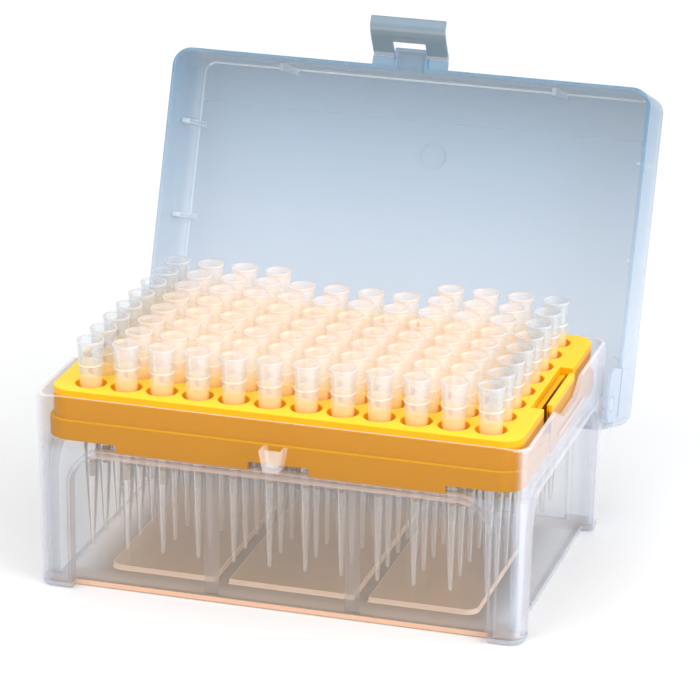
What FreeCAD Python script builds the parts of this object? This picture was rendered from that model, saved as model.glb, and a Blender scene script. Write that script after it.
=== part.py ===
"""Hinged box of 96 pipette tips: a parametric FreeCAD document.

The box stands on the floor with its lid folded back.  The origin is the middle of its footprint
on the floor, +X is to the right, -Y is the front with the latch, +Z is up, all in millimetres.
The lid is modelled shut, over the base that it fits, and is then swung open about the pivots.
"""
import FreeCAD, Part
import math
import os
import Sketcher

DOC = FreeCAD.newDocument("pipette_tip_box")
SHEET = DOC.addObject("Spreadsheet::Sheet", "Sizes")

SIZES = {
    # grid of tips
    "grid_columns": (12, "tips from left to right"),
    "grid_rows": (8, "tips from front to back"),
    "short_columns_from": (5, "first column whose back tip is missing"),
    "short_columns_to": (8, "last column whose back tip is missing"),
    "grid_end_margin": (4.1, "end of the rack's plate to the first column's share of it"),
    "grid_side_margin": (2.3, "side of the rack's plate to the first row's share of it"),
    # base
    "base_length": (122.4, "outside, along X, at the rim"),
    "base_width": (82.6, "outside, along Y, at the rim"),
    "base_height": (49.5, "floor to rim"),
    "base_foot_inset": (0.9, "how far each wall leans in from rim to floor"),
    "base_corner": (4.4, "outside corner radius seen from above"),
    "base_wall": (1.3, "wall thickness"),
    "base_floor": (1.2, "floor thickness"),
    "foot_round": (0.9, "rounding under the feet"),
    "rim_bevel_in": (0.5, "bevel outside the rim, inward"),
    "rim_bevel_down": (1.2, "bevel outside the rim, downward"),
    "foot_length": (8.5, "corner foot beside the front and back arch"),
    "front_panel_inset": (3.0, "how far that panel stands back from the foot of the wall"),
    "foot_width": (6.6, "corner foot beside the side arch"),
    "side_panel_inset": (3.1, "how far that panel stands back from the foot of the wall"),
    "panel_drop": (14.7, "rim to the top of the arches"),
    "panel_corner": (8.0, "radius in the top corners of the arches"),
    "shelf_thickness": (1.0, "roof of the arches, which carries the rack"),
    "pad_end_gap": (9.7, "raised floor pads to the inside of the side arches"),
    "pad_side_gap": (7.6, "raised floor pads to the inside of the front and back arches"),
    "pad_height": (1.2, "how far the pads stand above the floor"),
    "pad_corner": (3.0, "corner radius of the pads"),
    "channel_offset": (17.6, "channels between the pads, from the middle"),
    "channel_width": (3.7, "width of a channel"),
    "rib_width": (3.5, "upright ribs inside the front and back panel"),
    "rib_depth": (0.8, "how far these ribs stand proud"),
    "notch_top": (27.4, "finger notch in the side rims, at the rim"),
    "notch_bottom": (14.0, "finger notch, at its bottom"),
    "notch_depth": (3.6, "depth of the finger notch"),
    "ridge_length": (25.5, "stiffening ridge under the finger notch"),
    "ridge_drop": (6.3, "rim to the underside of the ridge"),
    "ridge_thickness": (0.8, "height of the ridge"),
    "ridge_rise": (0.4, "how far the ridge stands proud"),
    "relief_width": (9.8, "shallow relief in the front rim, above the catch"),
    "relief_height": (4.2, "height of the relief"),
    "relief_depth": (0.4, "depth of the relief"),
    # catch on the front wall
    "catch_width": (6.2, "width at its mouth"),
    "catch_foot": (4.0, "width at its bottom"),
    "catch_drop": (11.2, "rim to its underside"),
    "catch_height": (5.3, "its height"),
    "catch_reach": (3.8, "how far it stands out past the rim"),
    "catch_wall": (1.0, "its wall"),
    # pivots
    "pivot_inset": (5.07, "pivot axis in front of the base's back face, at the rim"),
    "pivot_drop": (15.6, "pivot axis below the rim"),
    "pivot_diameter": (3.6, "pivot studs on the side walls"),
    "pivot_end_gap": (0.15, "stud end behind the outer face of the lid's ear"),
    "pivot_clearance": (0.2, "radial play of the lid on its studs"),
    # rack
    "rack_end_gap": (3.1, "top plate to the outside of the rim, at the ends"),
    "rack_side_gap": (3.0, "top plate to the outside of the rim, front and back"),
    "rack_corner": (5.0, "corner radius of the plate"),
    "rack_plate": (2.0, "thickness of the plate"),
    "rack_height": (14.56, "from the shelf to the top of the plate"),
    "rack_wall": (1.4, "skirt thickness"),
    "rack_step_drop": (7.46, "plate top to the step in the skirt"),
    "rack_step_out": (0.9, "how far the lower skirt stands out past the upper one"),
    "rack_tab_height": (2.1, "tabs under the skirt, which rest on the shelf"),
    "rack_tab_inner": (7.5, "tab, its end nearest the middle"),
    "rack_tab_outer": (40.8, "tab, its far end"),
    "socket_diameter": (8.2, "outside of a tip socket"),
    "socket_mouth": (7.55, "hole in the plate"),
    "socket_seat": (6.4, "hole just above the seat"),
    "socket_depth": (6.16, "plate top to the seat"),
    "seat_thickness": (1.2, "ledge that carries a tip"),
    "seat_clearance": (0.1, "radial play of a tip in its ledge"),
    "grip_width": (29.2, "finger recess in the ends of the rack"),
    "grip_depth": (3.2, "how far the recess cuts into the plate"),
    "grip_step": (1.3, "inner step of the recess"),
    "grip_bar_width": (23.2, "finger bar"),
    "grip_bar_height": (12.4, "finger bar, from the lower edge of the skirt"),
    "grip_bar_out": (0.3, "finger bar, past the lower skirt"),
    # tips: each diameter and the distance of its place below the mouth
    "tip_length": (52.9, "mouth to point"),
    "tip_lip": (0.6, "height of the rim round the mouth"),
    "tip_lip_diameter": (6.7, "outside of that rim"),
    "tip_neck_diameter": (6.45, "outside, just under the rim"),
    "tip_bore": (5.75, "inside, at the mouth"),
    "tip_ring_drop": (5.8, "ring below the mouth"),
    "tip_ring_height": (0.5, "height of the ring"),
    "tip_ring_diameter": (6.15, "outside of the ring"),
    "tip_collar_diameter": (5.9, "outside, at the ring"),
    "tip_seat_drop": (17.2, "seat below the mouth"),
    "tip_seat_height": (0.5, "height of the seat ring"),
    "tip_seat_diameter": (5.4, "outside of the seat ring"),
    "tip_waist_diameter": (5.1, "outside, just above the seat ring"),
    "tip_body_diameter": (4.7, "outside, just below the seat"),
    "tip_wall": (0.38, "wall thickness"),
    "tip_filter_drop": (31.1, "top of the filter below the mouth"),
    "tip_filter_length": (3.6, "length of the filter"),
    "tip_upper_diameter": (3.4, "outside, at the top of the filter"),
    "tip_lower_diameter": (3.05, "outside, at the bottom of the filter"),
    "tip_point_diameter": (0.9, "outside, at the point"),
    "tip_orifice": (0.4, "bore at the point"),
    "filter_clearance": (0.02, "radial play of the filter"),
    # lid
    "lid_clearance": (1.3, "lid skirt to the base rim, at the ends"),
    "lid_front_clearance": (1.1, "lid skirt to the base rim, front and back"),
    "lid_wall": (1.0, "wall and panel thickness"),
    "lid_overlap": (8.1, "how far the shut lid reaches below the base rim"),
    "lid_height": (23.45, "rim of the lid to the top of its panel"),
    "lid_top_inset": (0.85, "how far each wall leans in from rim to panel"),
    "lid_corner": (5.0, "outside corner radius seen from above"),
    "lid_edge_round": (1.5, "rounding round the panel"),
    "lid_inner_round": (0.6, "rounding inside, round the panel"),
    "lid_rest_gap": (0.05, "stop ribs above the base rim when shut"),
    "lid_rib_thickness": (1.2, "stop ribs in the lid"),
    "lid_front_rib_offset": (36.5, "front stop ribs, from the middle"),
    "lid_side_rib_offset": (24.7, "outer side stop ribs, from the middle"),
    "lid_open": (109.73, "degrees from shut to folded back"),
    "ear_width": (13.7, "hinge ear, along the lid's rim"),
    "ear_setback": (2.5, "hinge ear, from the lid's back face"),
    "ear_drop": (12.3, "hinge ear, below the lid's rim"),
    "ear_corner": (4.0, "corner radius of the ear"),
    "hood_width": (8.3, "hood over the catch"),
    "hood_inner_width": (6.8, "inside of the hood"),
    "hood_reach": (4.7, "how far the hood stands out"),
    "hood_wall": (1.0, "front wall and roof of the hood"),
    "hood_height": (4.0, "hood above the lid's rim"),
    "flange_width": (20.0, "flange that carries the latch"),
    "flange_reach": (3.1, "lid's front face to the latch line"),
    "flange_level": (0.4, "flange above the lid's rim"),
    "flange_thickness": (1.0, "thickness of the flange"),
    "mark_ring_diameter": (7.0, "round moulding mark inside the panel"),
    "mark_ring_offset": (3.0, "that mark, right of the middle"),
    "mark_ring_forward": (22.2, "that mark, in front of the middle"),
    "mark_width": (0.3, "width of the moulding marks"),
    "mark_rise": (0.2, "height of the moulding marks"),
    "gate_length": (5.5, "line mark on the panel"),
    # latch
    "latch_width": (19.9, "width of the flap"),
    "latch_thickness": (1.0, "thickness of the flap"),
    "latch_gap": (0.3, "latch to the flange, along the fold"),
    "latch_straight": (5.9, "fold to the first bend"),
    "latch_middle": (3.1, "first bend to the second"),
    "latch_lip": (2.6, "second bend to the edge"),
    "latch_first_bend": (8.0, "degrees outward"),
    "latch_second_bend": (52.0, "degrees outward"),
    "latch_window_width": (8.6, "window that goes over the hood"),
    "latch_window_length": (4.5, "fold to the far edge of the window"),
    "latch_rest": (41.0, "degrees outward from hanging straight"),
}

XY = FreeCAD.Rotation()
XZ = FreeCAD.Rotation(FreeCAD.Vector(1, 0, 0), 90)      # sketch x -> X, y -> Z, normal -> -Y
YZ = FreeCAD.Rotation(FreeCAD.Vector(1, 1, 1), 120)     # sketch x -> Y, y -> Z, normal -> +X


def fill_sheet():
    """Write every driving size into the sheet, with its alias and what it means."""
    for row, (alias, (number, meaning)) in enumerate(SIZES.items(), start=1):
        SHEET.set(f"A{row}", alias)
        SHEET.set(f"B{row}", str(number))
        SHEET.setAlias(f"B{row}", alias)
        SHEET.set(f"C{row}", meaning)
    DOC.recompute()


def bound(text):
    """Turn the aliases in an expression into references to the sheet."""
    words, word = [], ""
    for char in str(text) + " ":
        if char.isalnum() or char == "_":
            word += char
            continue
        words.append("Sizes." + word if word in SIZES else word)
        words.append(char)
        word = ""
    return "".join(words).strip()


def number(text):
    """Value of an expression on the sheet, as a plain number."""
    result = SHEET.evalExpression(bound(text))
    return float(getattr(result, "Value", result))


def bind(thing, prop, text):
    """Tie a property of a document object to an expression on the sheet."""
    thing.setExpression(prop, bound(text))


# ------------------------------------------------------------------ sketches and simple solids

def hold(sketch, kind, place, text):
    """Hold a point of the sketch at a distance from its origin that the sheet drives."""
    value = number(text)
    index = sketch.addConstraint(Sketcher.Constraint(kind, -1, 1, place[0], place[1], value))
    name = f"d{index}"
    sketch.renameConstraint(index, name)
    bind(sketch, f"Constraints.{name}", text)


def outline(sketch, corners):
    """Closed outline through corners (x, y), each held by two driven distances."""
    points = [FreeCAD.Vector(number(x), number(y), 0) for x, y in corners]
    count = len(points)
    lines = [Part.LineSegment(points[i], points[(i + 1) % count]) for i in range(count)]
    sketch.addGeometry(lines, False)
    for i in range(count):
        sketch.addConstraint(Sketcher.Constraint("Coincident", i, 2, (i + 1) % count, 1))
    for i, (x, y) in enumerate(corners):
        hold(sketch, "DistanceX", (i, 1), x)
        hold(sketch, "DistanceY", (i, 1), y)


def round_outline(sketch, sides, radii):
    """Upright rectangle (left, right, bottom, top) with a driven radius at each corner.

    The radii run counter-clockwise from the bottom right corner; None leaves a corner sharp.
    """
    left, right, bottom, top = sides
    corners = [(left, bottom), (right, bottom), (right, top), (left, top)]
    points = [FreeCAD.Vector(number(x), number(y), 0) for x, y in corners]
    turns = [radii[3], radii[0], radii[1], radii[2]]
    sizes = [number(turn) if turn is not None else 0.0 for turn in turns]
    along = [FreeCAD.Vector(1, 0, 0), FreeCAD.Vector(0, 1, 0),
             FreeCAD.Vector(-1, 0, 0), FreeCAD.Vector(0, -1, 0)]
    lines = []
    for i in range(4):
        begin = points[i] + along[i] * sizes[i]
        end = points[(i + 1) % 4] - along[i] * sizes[(i + 1) % 4]
        lines.append(Part.LineSegment(begin, end))
    sketch.addGeometry(lines, False)
    for i in range(4):
        sketch.addConstraint(Sketcher.Constraint("Vertical" if i % 2 else "Horizontal", i))
    for i in range(4):
        before = (i + 3) % 4
        if turns[i] is None:
            sketch.addConstraint(Sketcher.Constraint("Coincident", before, 2, i, 1))
            continue
        middle = points[i] + (along[i] - along[before]) * sizes[i]
        circle = Part.Circle(middle, FreeCAD.Vector(0, 0, 1), sizes[i])
        start = math.radians(180 + 90 * i)
        arc = sketch.addGeometry(Part.ArcOfCircle(circle, start, start + math.pi / 2), False)
        sketch.addConstraint(Sketcher.Constraint("Tangent", before, 2, arc, 1))
        sketch.addConstraint(Sketcher.Constraint("Tangent", arc, 2, i, 1))
        index = sketch.addConstraint(Sketcher.Constraint("Radius", arc, sizes[i]))
        sketch.renameConstraint(index, f"r{i}")
        bind(sketch, f"Constraints.r{i}", turns[i])
    hold(sketch, "DistanceY", (0, 1), bottom)
    hold(sketch, "DistanceX", (1, 1), right)
    hold(sketch, "DistanceY", (2, 1), top)
    hold(sketch, "DistanceX", (3, 1), left)


def free_sketch(name, turn=XY, place=("0", "0", "0")):
    """Sketch that stands by itself in the document, for a Part feature."""
    sketch = DOC.addObject("Sketcher::SketchObject", name)
    sketch.Placement = FreeCAD.Placement(FreeCAD.Vector(), turn)
    for axis, text in zip("xyz", place):
        bind(sketch, f"Placement.Base.{axis}", text)
    return sketch


def origin_plane(body, role):
    """Origin plane of a body, found by its role."""
    return next(item for item in body.Origin.OriginFeatures if item.Role == role)


def body_sketch(body, name, role="XY_Plane", lift="0"):
    """Sketch of a body, laid on one of its origin planes and lifted off it."""
    sketch = body.newObject("Sketcher::SketchObject", name)
    sketch.AttachmentSupport = (origin_plane(body, role), [""])
    sketch.MapMode = "FlatFace"
    bind(sketch, "AttachmentOffset.Base.z", lift)
    return sketch


def extrude(name, sketch, length, reverse=False):
    """Prism over a free sketch, along its normal."""
    prism = DOC.addObject("Part::Extrusion", name)
    prism.Base = sketch
    prism.DirMode = "Normal"
    prism.Solid = True
    prism.Reversed = reverse
    bind(prism, "LengthFwd", length)
    return prism


def box(name, x, y, z):
    """Box from a (low, high) pair of expressions for each axis."""
    block = DOC.addObject("Part::Box", name)
    for axis, size, (low, high) in zip("xyz", ("Length", "Width", "Height"), (x, y, z)):
        bind(block, size, f"({high}) - ({low})")
        bind(block, f"Placement.Base.{axis}", low)
    return block


def mirrored(name, source, normal):
    """Mirror image of a feature through the middle of the box."""
    image = DOC.addObject("Part::Mirroring", name)
    image.Source = source
    image.Normal = FreeCAD.Vector(*normal)
    return image


def pair(name, source, normal):
    """A feature together with its mirror image."""
    return fuse(name, [source, mirrored(name + "_twin", source, normal)])


def fuse(name, parts):
    """Union of several features."""
    union = DOC.addObject("Part::MultiFuse", name)
    union.Shapes = parts
    return union


def cut(name, base, tool, refine=False):
    """One feature with another taken away."""
    result = DOC.addObject("Part::Cut", name)
    result.Base, result.Tool, result.Refine = base, tool, refine
    return result


def drafted_body(name, half_x, half_y, corner, level, height, lean, rounding=None):
    """Upright block whose walls lean out (or in, if lean is negative) towards the top.

    The half sizes and the corner radius are those at its low end; lean is in degrees.
    rounding is ("low" or "high", radius) and rounds the edges of that end.
    """
    body = DOC.addObject("PartDesign::Body", name)
    sketch = body_sketch(body, name + "_outline", lift=level)
    round_outline(sketch, (f"-({half_x})", half_x, f"-({half_y})", half_y), [corner] * 4)
    pad = body.newObject("PartDesign::Pad", name + "_pad")
    pad.Profile = sketch
    bind(pad, "Length", height)
    bind(pad, "TaperAngle", lean)
    DOC.recompute()
    if rounding:
        end, radius = rounding
        spot = number(level) if end == "low" else number(f"{level} + {height}")
        edges = [f"Edge{i}" for i, edge in enumerate(pad.Shape.Edges, start=1)
                 if all(abs(vertex.Z - spot) < 1e-4 for vertex in edge.Vertexes)]
        fillet = body.newObject("PartDesign::Fillet", name + "_rounding")
        fillet.Base = (pad, edges)
        bind(fillet, "Radius", radius)
        body.Tip = fillet
        DOC.recompute()
    return body


def grid_body(name, corners, rows="grid_rows", columns=None):
    """Turned shape repeated over a column of tips, or over the whole grid.

    The corners are (radius, height) of the shape's profile, for the front left place.
    """
    body = DOC.addObject("PartDesign::Body", name)
    body.AllowCompound = True
    sketch = body_sketch(body, name + "_profile", "XZ_Plane")
    outline(sketch, corners)
    turned = body.newObject("PartDesign::Revolution", name + "_turned")
    turned.Profile = sketch
    turned.ReferenceAxis = (sketch, ["V_Axis"])
    turned.Angle = 360
    DOC.recompute()
    pattern = body.newObject("PartDesign::LinearPattern", name + "_grid")
    pattern.Originals = [turned]
    pattern.Direction = (origin_axis(body, "Y_Axis"), [""])
    pattern.Mode = "Spacing"
    bind(pattern, "Offset", PITCH_Y)
    bind(pattern, "Occurrences", rows)
    if columns:
        pattern.Direction2 = (origin_axis(body, "X_Axis"), [""])
        pattern.Mode2 = "Spacing"
        pattern.Occurrences2, pattern.Spacings2 = 2, [-1.0]
        bind(pattern, "Offset2", PITCH_X)
        bind(pattern, "Occurrences2", columns)
    body.Tip = pattern
    return body


def origin_axis(body, role):
    """Origin axis of a body, found by its role."""
    return next(item for item in body.Origin.OriginFeatures if item.Role == role)


# ------------------------------------------------------------------------------- the base box

HALF_X, HALF_Y = "base_length / 2", "base_width / 2"
FOOT_X, FOOT_Y = f"({HALF_X} - base_foot_inset)", f"({HALF_Y} - base_foot_inset)"
FRONT_PANEL = f"({FOOT_Y} - front_panel_inset)"
FRONT_WIDTH, SIDE_WIDTH = f"(2 * ({FOOT_X} - foot_length))", f"(2 * ({FOOT_Y} - foot_width))"
PANEL_TOP = "(base_height - panel_drop)"
PIVOT_Y, PIVOT_Z = f"({HALF_Y} - pivot_inset)", "(base_height - pivot_drop)"
CATCH_LOW = "(base_height - catch_drop)"
SIDE_PANEL = f"({FOOT_X} - side_panel_inset)"
SHELF = f"({PANEL_TOP} + shelf_thickness)"
CATCH_FRONT = f"({HALF_Y} + catch_reach)"


def bevel_rim(body):
    """Bevel the outer edge of the rim, taller than it is deep, so that the lid swings clear."""
    block = body.Tip
    edges = [f"Edge{i}" for i, edge in enumerate(block.Shape.Edges, start=1)
             if all(abs(vertex.Z - number("base_height")) < 1e-4 for vertex in edge.Vertexes)]
    bevel = body.newObject("PartDesign::Chamfer", "rim_bevel")
    bevel.Base = (block, edges)
    bevel.ChamferType = "Two distances"
    bind(bevel, "Size", "rim_bevel_down")
    bind(bevel, "Size2", "rim_bevel_in")
    body.Tip = bevel
    DOC.recompute()


def arch_pair(name, turn, width, face, top, corner, low):
    """The same arched block at two opposite walls, from a face outward."""
    normal = (0, 1, 0) if turn is XZ else (1, 0, 0)
    place = ("0", f"-({face})", "0") if turn is XZ else (face, "0", "0")
    sketch = free_sketch(name + "_outline", turn, place)
    half = f"({width}) / 2"
    round_outline(sketch, (f"-({half})", half, low, top), [None, corner, corner, None])
    return pair(name, extrude(name + "_block", sketch, "base_corner + 4"), normal)


def make_base():
    """Translucent lower box with arched panels, feet, floor pads, notches, catch and studs."""
    lean, foot_corner = "atan(base_foot_inset / base_height)", "base_corner - base_foot_inset"
    outside = drafted_body("base_outside", FOOT_X, FOOT_Y, foot_corner, "0", "base_height",
                           lean, ("low", "foot_round"))
    bevel_rim(outside)
    inset = "(base_foot_inset * base_floor / base_height - base_wall)"
    cavity = drafted_body("base_cavity", f"{FOOT_X} + {inset}", f"{FOOT_Y} + {inset}",
                          f"{foot_corner} + {inset}", "base_floor", "base_height", lean)
    recesses = [
        arch_pair("front_recess", XZ, FRONT_WIDTH, FRONT_PANEL, PANEL_TOP,
                  "panel_corner", "-1"),
        arch_pair("side_recess", YZ, SIDE_WIDTH, SIDE_PANEL, PANEL_TOP,
                  "panel_corner", "-1")]
    steps = [
        arch_pair("front_step", XZ, f"{FRONT_WIDTH} + 2 * base_wall",
                  f"{FRONT_PANEL} - base_wall", SHELF, "panel_corner + base_wall", "0"),
        arch_pair("side_step", YZ, f"{SIDE_WIDTH} + 2 * base_wall",
                  f"{SIDE_PANEL} - base_wall", SHELF, "panel_corner + base_wall", "0")]
    hollow = cut("base_hollow", cavity, fuse("base_steps", steps))
    shell = cut("base_shell", outside, fuse("base_openings", recesses + [hollow]))
    additions = [shell, make_pads(), make_panel_ribs(), make_ridges(), make_catch(),
                 make_studs()]
    removals = [make_notches(), make_relief(), make_catch_pocket()]
    base = cut("base_box", fuse("base_body", additions), fuse("base_cuts", removals), True)
    base.Label = "base_box"
    return base


def make_pads():
    """Three raised pads on the floor, with a channel between each two."""
    sketch = free_sketch("pad_outline", XY, ("0", "0", "base_floor / 2"))
    half_x = f"({SIDE_PANEL} - base_wall - pad_end_gap)"
    half_y = f"({FRONT_PANEL} - base_wall - pad_side_gap)"
    round_outline(sketch, (f"-{half_x}", half_x, f"-{half_y}", half_y), ["pad_corner"] * 4)
    block = extrude("pad_block", sketch, "base_floor / 2 + pad_height")
    channel = box("pad_channel", ("channel_offset - channel_width / 2",
                                  "channel_offset + channel_width / 2"),
                  (f"-{half_y} - 1", f"{half_y} + 1"),
                  ("base_floor", "base_floor + pad_height + 1"))
    return cut("pads", block, pair("pad_channels", channel, (1, 0, 0)))


def make_panel_ribs():
    """Upright ribs inside the front and back panels, in line with the channels."""
    face = f"({FRONT_PANEL} - base_wall)"
    rib = box("panel_rib", ("channel_offset - rib_width / 2", "channel_offset + rib_width / 2"),
              (f"-{face} - base_wall / 2", f"-{face} + rib_depth"),
              ("base_floor / 2", f"{SHELF} - shelf_thickness / 2"))
    return pair("panel_ribs", pair("panel_rib_pair", rib, (1, 0, 0)), (0, 1, 0))


def make_ridges():
    """Thin ridge along each side wall, below its finger notch."""
    ridge = box("side_ridge", (f"{FOOT_X}", f"{HALF_X} + ridge_rise - base_foot_inset / 8"),
                ("-ridge_length / 2", "ridge_length / 2"),
                ("base_height - ridge_drop", "base_height - ridge_drop + ridge_thickness"))
    return pair("side_ridges", ridge, (1, 0, 0))


def taper_block(name, top, bottom, level, height, face, depth):
    """Block that narrows downward, laid against the front wall."""
    sketch = free_sketch(name + "_outline", XZ, ("0", f"-({face})", "0"))
    outline(sketch, [(f"-({bottom}) / 2", level), (f"({bottom}) / 2", level),
                     (f"({top}) / 2", f"{level} + {height}"),
                     (f"-({top}) / 2", f"{level} + {height}")])
    return extrude(name, sketch, depth)


def make_catch():
    """Small open-topped catch that the latch snaps under."""
    return taper_block("catch_block", "catch_width", "catch_foot", CATCH_LOW,
                       "catch_height", f"{FOOT_Y}", f"{CATCH_FRONT} - {FOOT_Y}")


def make_catch_pocket():
    """Hollow of the catch."""
    return taper_block("catch_pocket", "catch_width - 2 * catch_wall",
                       "catch_foot - 1.4 * catch_wall", f"{CATCH_LOW} + catch_wall",
                       "catch_height", f"{HALF_Y} - 0.05",
                       "catch_reach + 0.05 - catch_wall")


def make_studs():
    """Studs on the side walls that the lid turns on."""
    stud = DOC.addObject("Part::Cylinder", "pivot_stud")
    stud.Placement = FreeCAD.Placement(FreeCAD.Vector(), FreeCAD.Rotation(0, 90, 0))
    bind(stud, "Radius", "pivot_diameter / 2")
    bind(stud, "Height", f"{LID_HALF_X} - pivot_end_gap - {FOOT_X} + base_wall / 2")
    bind(stud, "Placement.Base.x", f"{FOOT_X} - base_wall / 2")
    bind(stud, "Placement.Base.y", PIVOT_Y)
    bind(stud, "Placement.Base.z", PIVOT_Z)
    return pair("pivot_studs", stud, (1, 0, 0))


def make_notches():
    """Finger notch with sloping sides in both side rims."""
    sketch = free_sketch("notch_outline", YZ, (f"-{HALF_X} - 1", "0", "0"))
    outline(sketch, [("-notch_bottom / 2", "base_height - notch_depth"),
                     ("notch_bottom / 2", "base_height - notch_depth"),
                     ("notch_top / 2", "base_height"), ("notch_top / 2", "base_height + 1"),
                     ("-notch_top / 2", "base_height + 1"), ("-notch_top / 2", "base_height")])
    return extrude("notches", sketch, "base_length + 2")


def make_relief():
    """Shallow relief in the front rim, above the catch."""
    return box("front_relief", ("-relief_width / 2", "relief_width / 2"),
               (f"-{HALF_Y} - 1", f"-{HALF_Y} + relief_depth"),
               ("base_height - relief_height", "base_height + 1"))


# ----------------------------------------------------------------------------------- the rack

RACK_X, RACK_Y = f"({HALF_X} - rack_end_gap)", f"({HALF_Y} - rack_side_gap)"
RACK_TOP = f"({SHELF} + rack_height)"
RACK_STEP = f"({RACK_TOP} - rack_step_drop)"
SKIRT_LOW = f"({SHELF} + rack_tab_height)"
SKIRT_X, SKIRT_Y = f"({RACK_X} + rack_step_out)", f"({RACK_Y} + rack_step_out)"
SEAT = f"({RACK_TOP} - socket_depth)"
PITCH_X = f"(2 * ({RACK_X} - grid_end_margin) / grid_columns)"
PITCH_Y = f"(2 * ({RACK_Y} - grid_side_margin) / grid_rows)"
FIRST_X = f"(-(grid_columns - 1) * {PITCH_X} / 2)"
FIRST_Y = f"(-(grid_rows - 1) * {PITCH_Y} / 2)"


def slab(name, half_x, half_y, corner, low, high):
    """Upright block with rounded corners."""
    sketch = free_sketch(name + "_outline", XY, ("0", "0", low))
    round_outline(sketch, (f"-({half_x})", half_x, f"-({half_y})", half_y), [corner] * 4)
    return extrude(name, sketch, f"({high}) - ({low})")


def at_first_place(body):
    """Move a patterned body so that its first copy stands at the front left place."""
    bind(body, "Placement.Base.x", FIRST_X)
    bind(body, "Placement.Base.y", FIRST_Y)
    return body


def make_rack():
    """Yellow insert: plate, stepped skirt, tabs, sockets with ledges, and finger recesses."""
    upper = slab("rack_upper", RACK_X, RACK_Y, "rack_corner", f"{RACK_STEP} - rack_wall / 2",
                 RACK_TOP)
    lower = slab("rack_lower", SKIRT_X, SKIRT_Y, "rack_corner + rack_step_out", SKIRT_LOW,
                 RACK_STEP)
    upper_hollow = slab("rack_upper_hollow", f"{RACK_X} - rack_wall", f"{RACK_Y} - rack_wall",
                        "rack_corner - rack_wall", f"{SKIRT_LOW} - 1",
                        f"{RACK_TOP} - rack_plate")
    lower_hollow = slab("rack_lower_hollow", f"{SKIRT_X} - rack_wall", f"{SKIRT_Y} - rack_wall",
                        "rack_corner + rack_step_out - rack_wall", f"{SKIRT_LOW} - 1",
                        f"{RACK_STEP} - rack_wall")
    shell = cut("rack_shell", fuse("rack_blocks", [upper, lower]),
                fuse("rack_hollows", [upper_hollow, lower_hollow]))
    tab = box("rack_tab", ("rack_tab_inner", "rack_tab_outer"),
              (f"-{SKIRT_Y}", f"-{SKIRT_Y} + rack_wall"), (SHELF, SKIRT_LOW))
    tabs = pair("rack_tabs", pair("rack_tab_pair", tab, (1, 0, 0)), (0, 1, 0))
    sockets = at_first_place(grid_body("rack_sockets", [
        ("0", f"{SEAT} - seat_thickness"),
        ("socket_diameter / 2 - 0.2", f"{SEAT} - seat_thickness"),
        ("socket_diameter / 2", f"{RACK_TOP} - rack_plate / 2"),
        ("0", f"{RACK_TOP} - rack_plate / 2")], columns="grid_columns"))
    through = "(tip_body_diameter / 2 + seat_clearance)"
    holes = at_first_place(grid_body("rack_holes", [
        ("0", f"{SEAT} - seat_thickness - 1"),
        (through, f"{SEAT} - seat_thickness - 1"), (through, SEAT),
        ("socket_seat / 2", SEAT), ("socket_mouth / 2", RACK_TOP),
        ("socket_mouth / 2", f"{RACK_TOP} + 1"), ("0", f"{RACK_TOP} + 1")],
        columns="grid_columns"))
    grip_walls, grip_cuts, grip_bars = make_grips()
    solid = fuse("rack_solid", [shell, tabs, grip_walls])
    opened = cut("rack_opened", solid, grip_cuts)
    rack = cut("tip_rack", fuse("rack_body", [opened, grip_bars, sockets]), holes, True)
    rack.Label = "tip_rack"
    return rack


def make_grips():
    """Finger recess in each end of the rack: its walls, what it cuts, and the finger bar."""
    edge = f"({RACK_X} - grip_depth)"
    groove = f"({edge} + grip_step)"
    half = "grip_width / 2"
    walls = box("grip_wall", (f"{edge} - rack_wall / 2", RACK_X),
                (f"-{half} - rack_wall", f"{half} + rack_wall"),
                (f"{RACK_STEP} - rack_wall", f"{RACK_TOP} - rack_plate / 2"))
    plate = box("grip_plate_cut", (edge, f"{SKIRT_X} + 1"), (f"-{half}", half),
                (f"{RACK_TOP} - rack_plate", f"{RACK_TOP} + 1"))
    slot = box("grip_slot", (groove, f"{SKIRT_X} + 1"), (f"-{half}", half),
               (RACK_STEP, f"{RACK_TOP} + 1"))
    bar = box("grip_bar", (f"{SKIRT_X} + grip_bar_out - rack_wall",
                           f"{SKIRT_X} + grip_bar_out"),
              ("-grip_bar_width / 2", "grip_bar_width / 2"),
              (SKIRT_LOW, f"{SKIRT_LOW} + grip_bar_height"))
    return (pair("grip_walls", walls, (1, 0, 0)),
            pair("grip_cuts", fuse("grip_cut", [plate, slot]), (1, 0, 0)),
            pair("grip_bars", bar, (1, 0, 0)))


# ------------------------------------------------------------------------------ tips, filters

MOUTH = f"({SEAT} + tip_seat_drop)"


def below_mouth(drop):
    """Height of a place that lies a given distance below the mouth of the tips."""
    return f"{MOUTH} - ({drop})"


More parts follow.
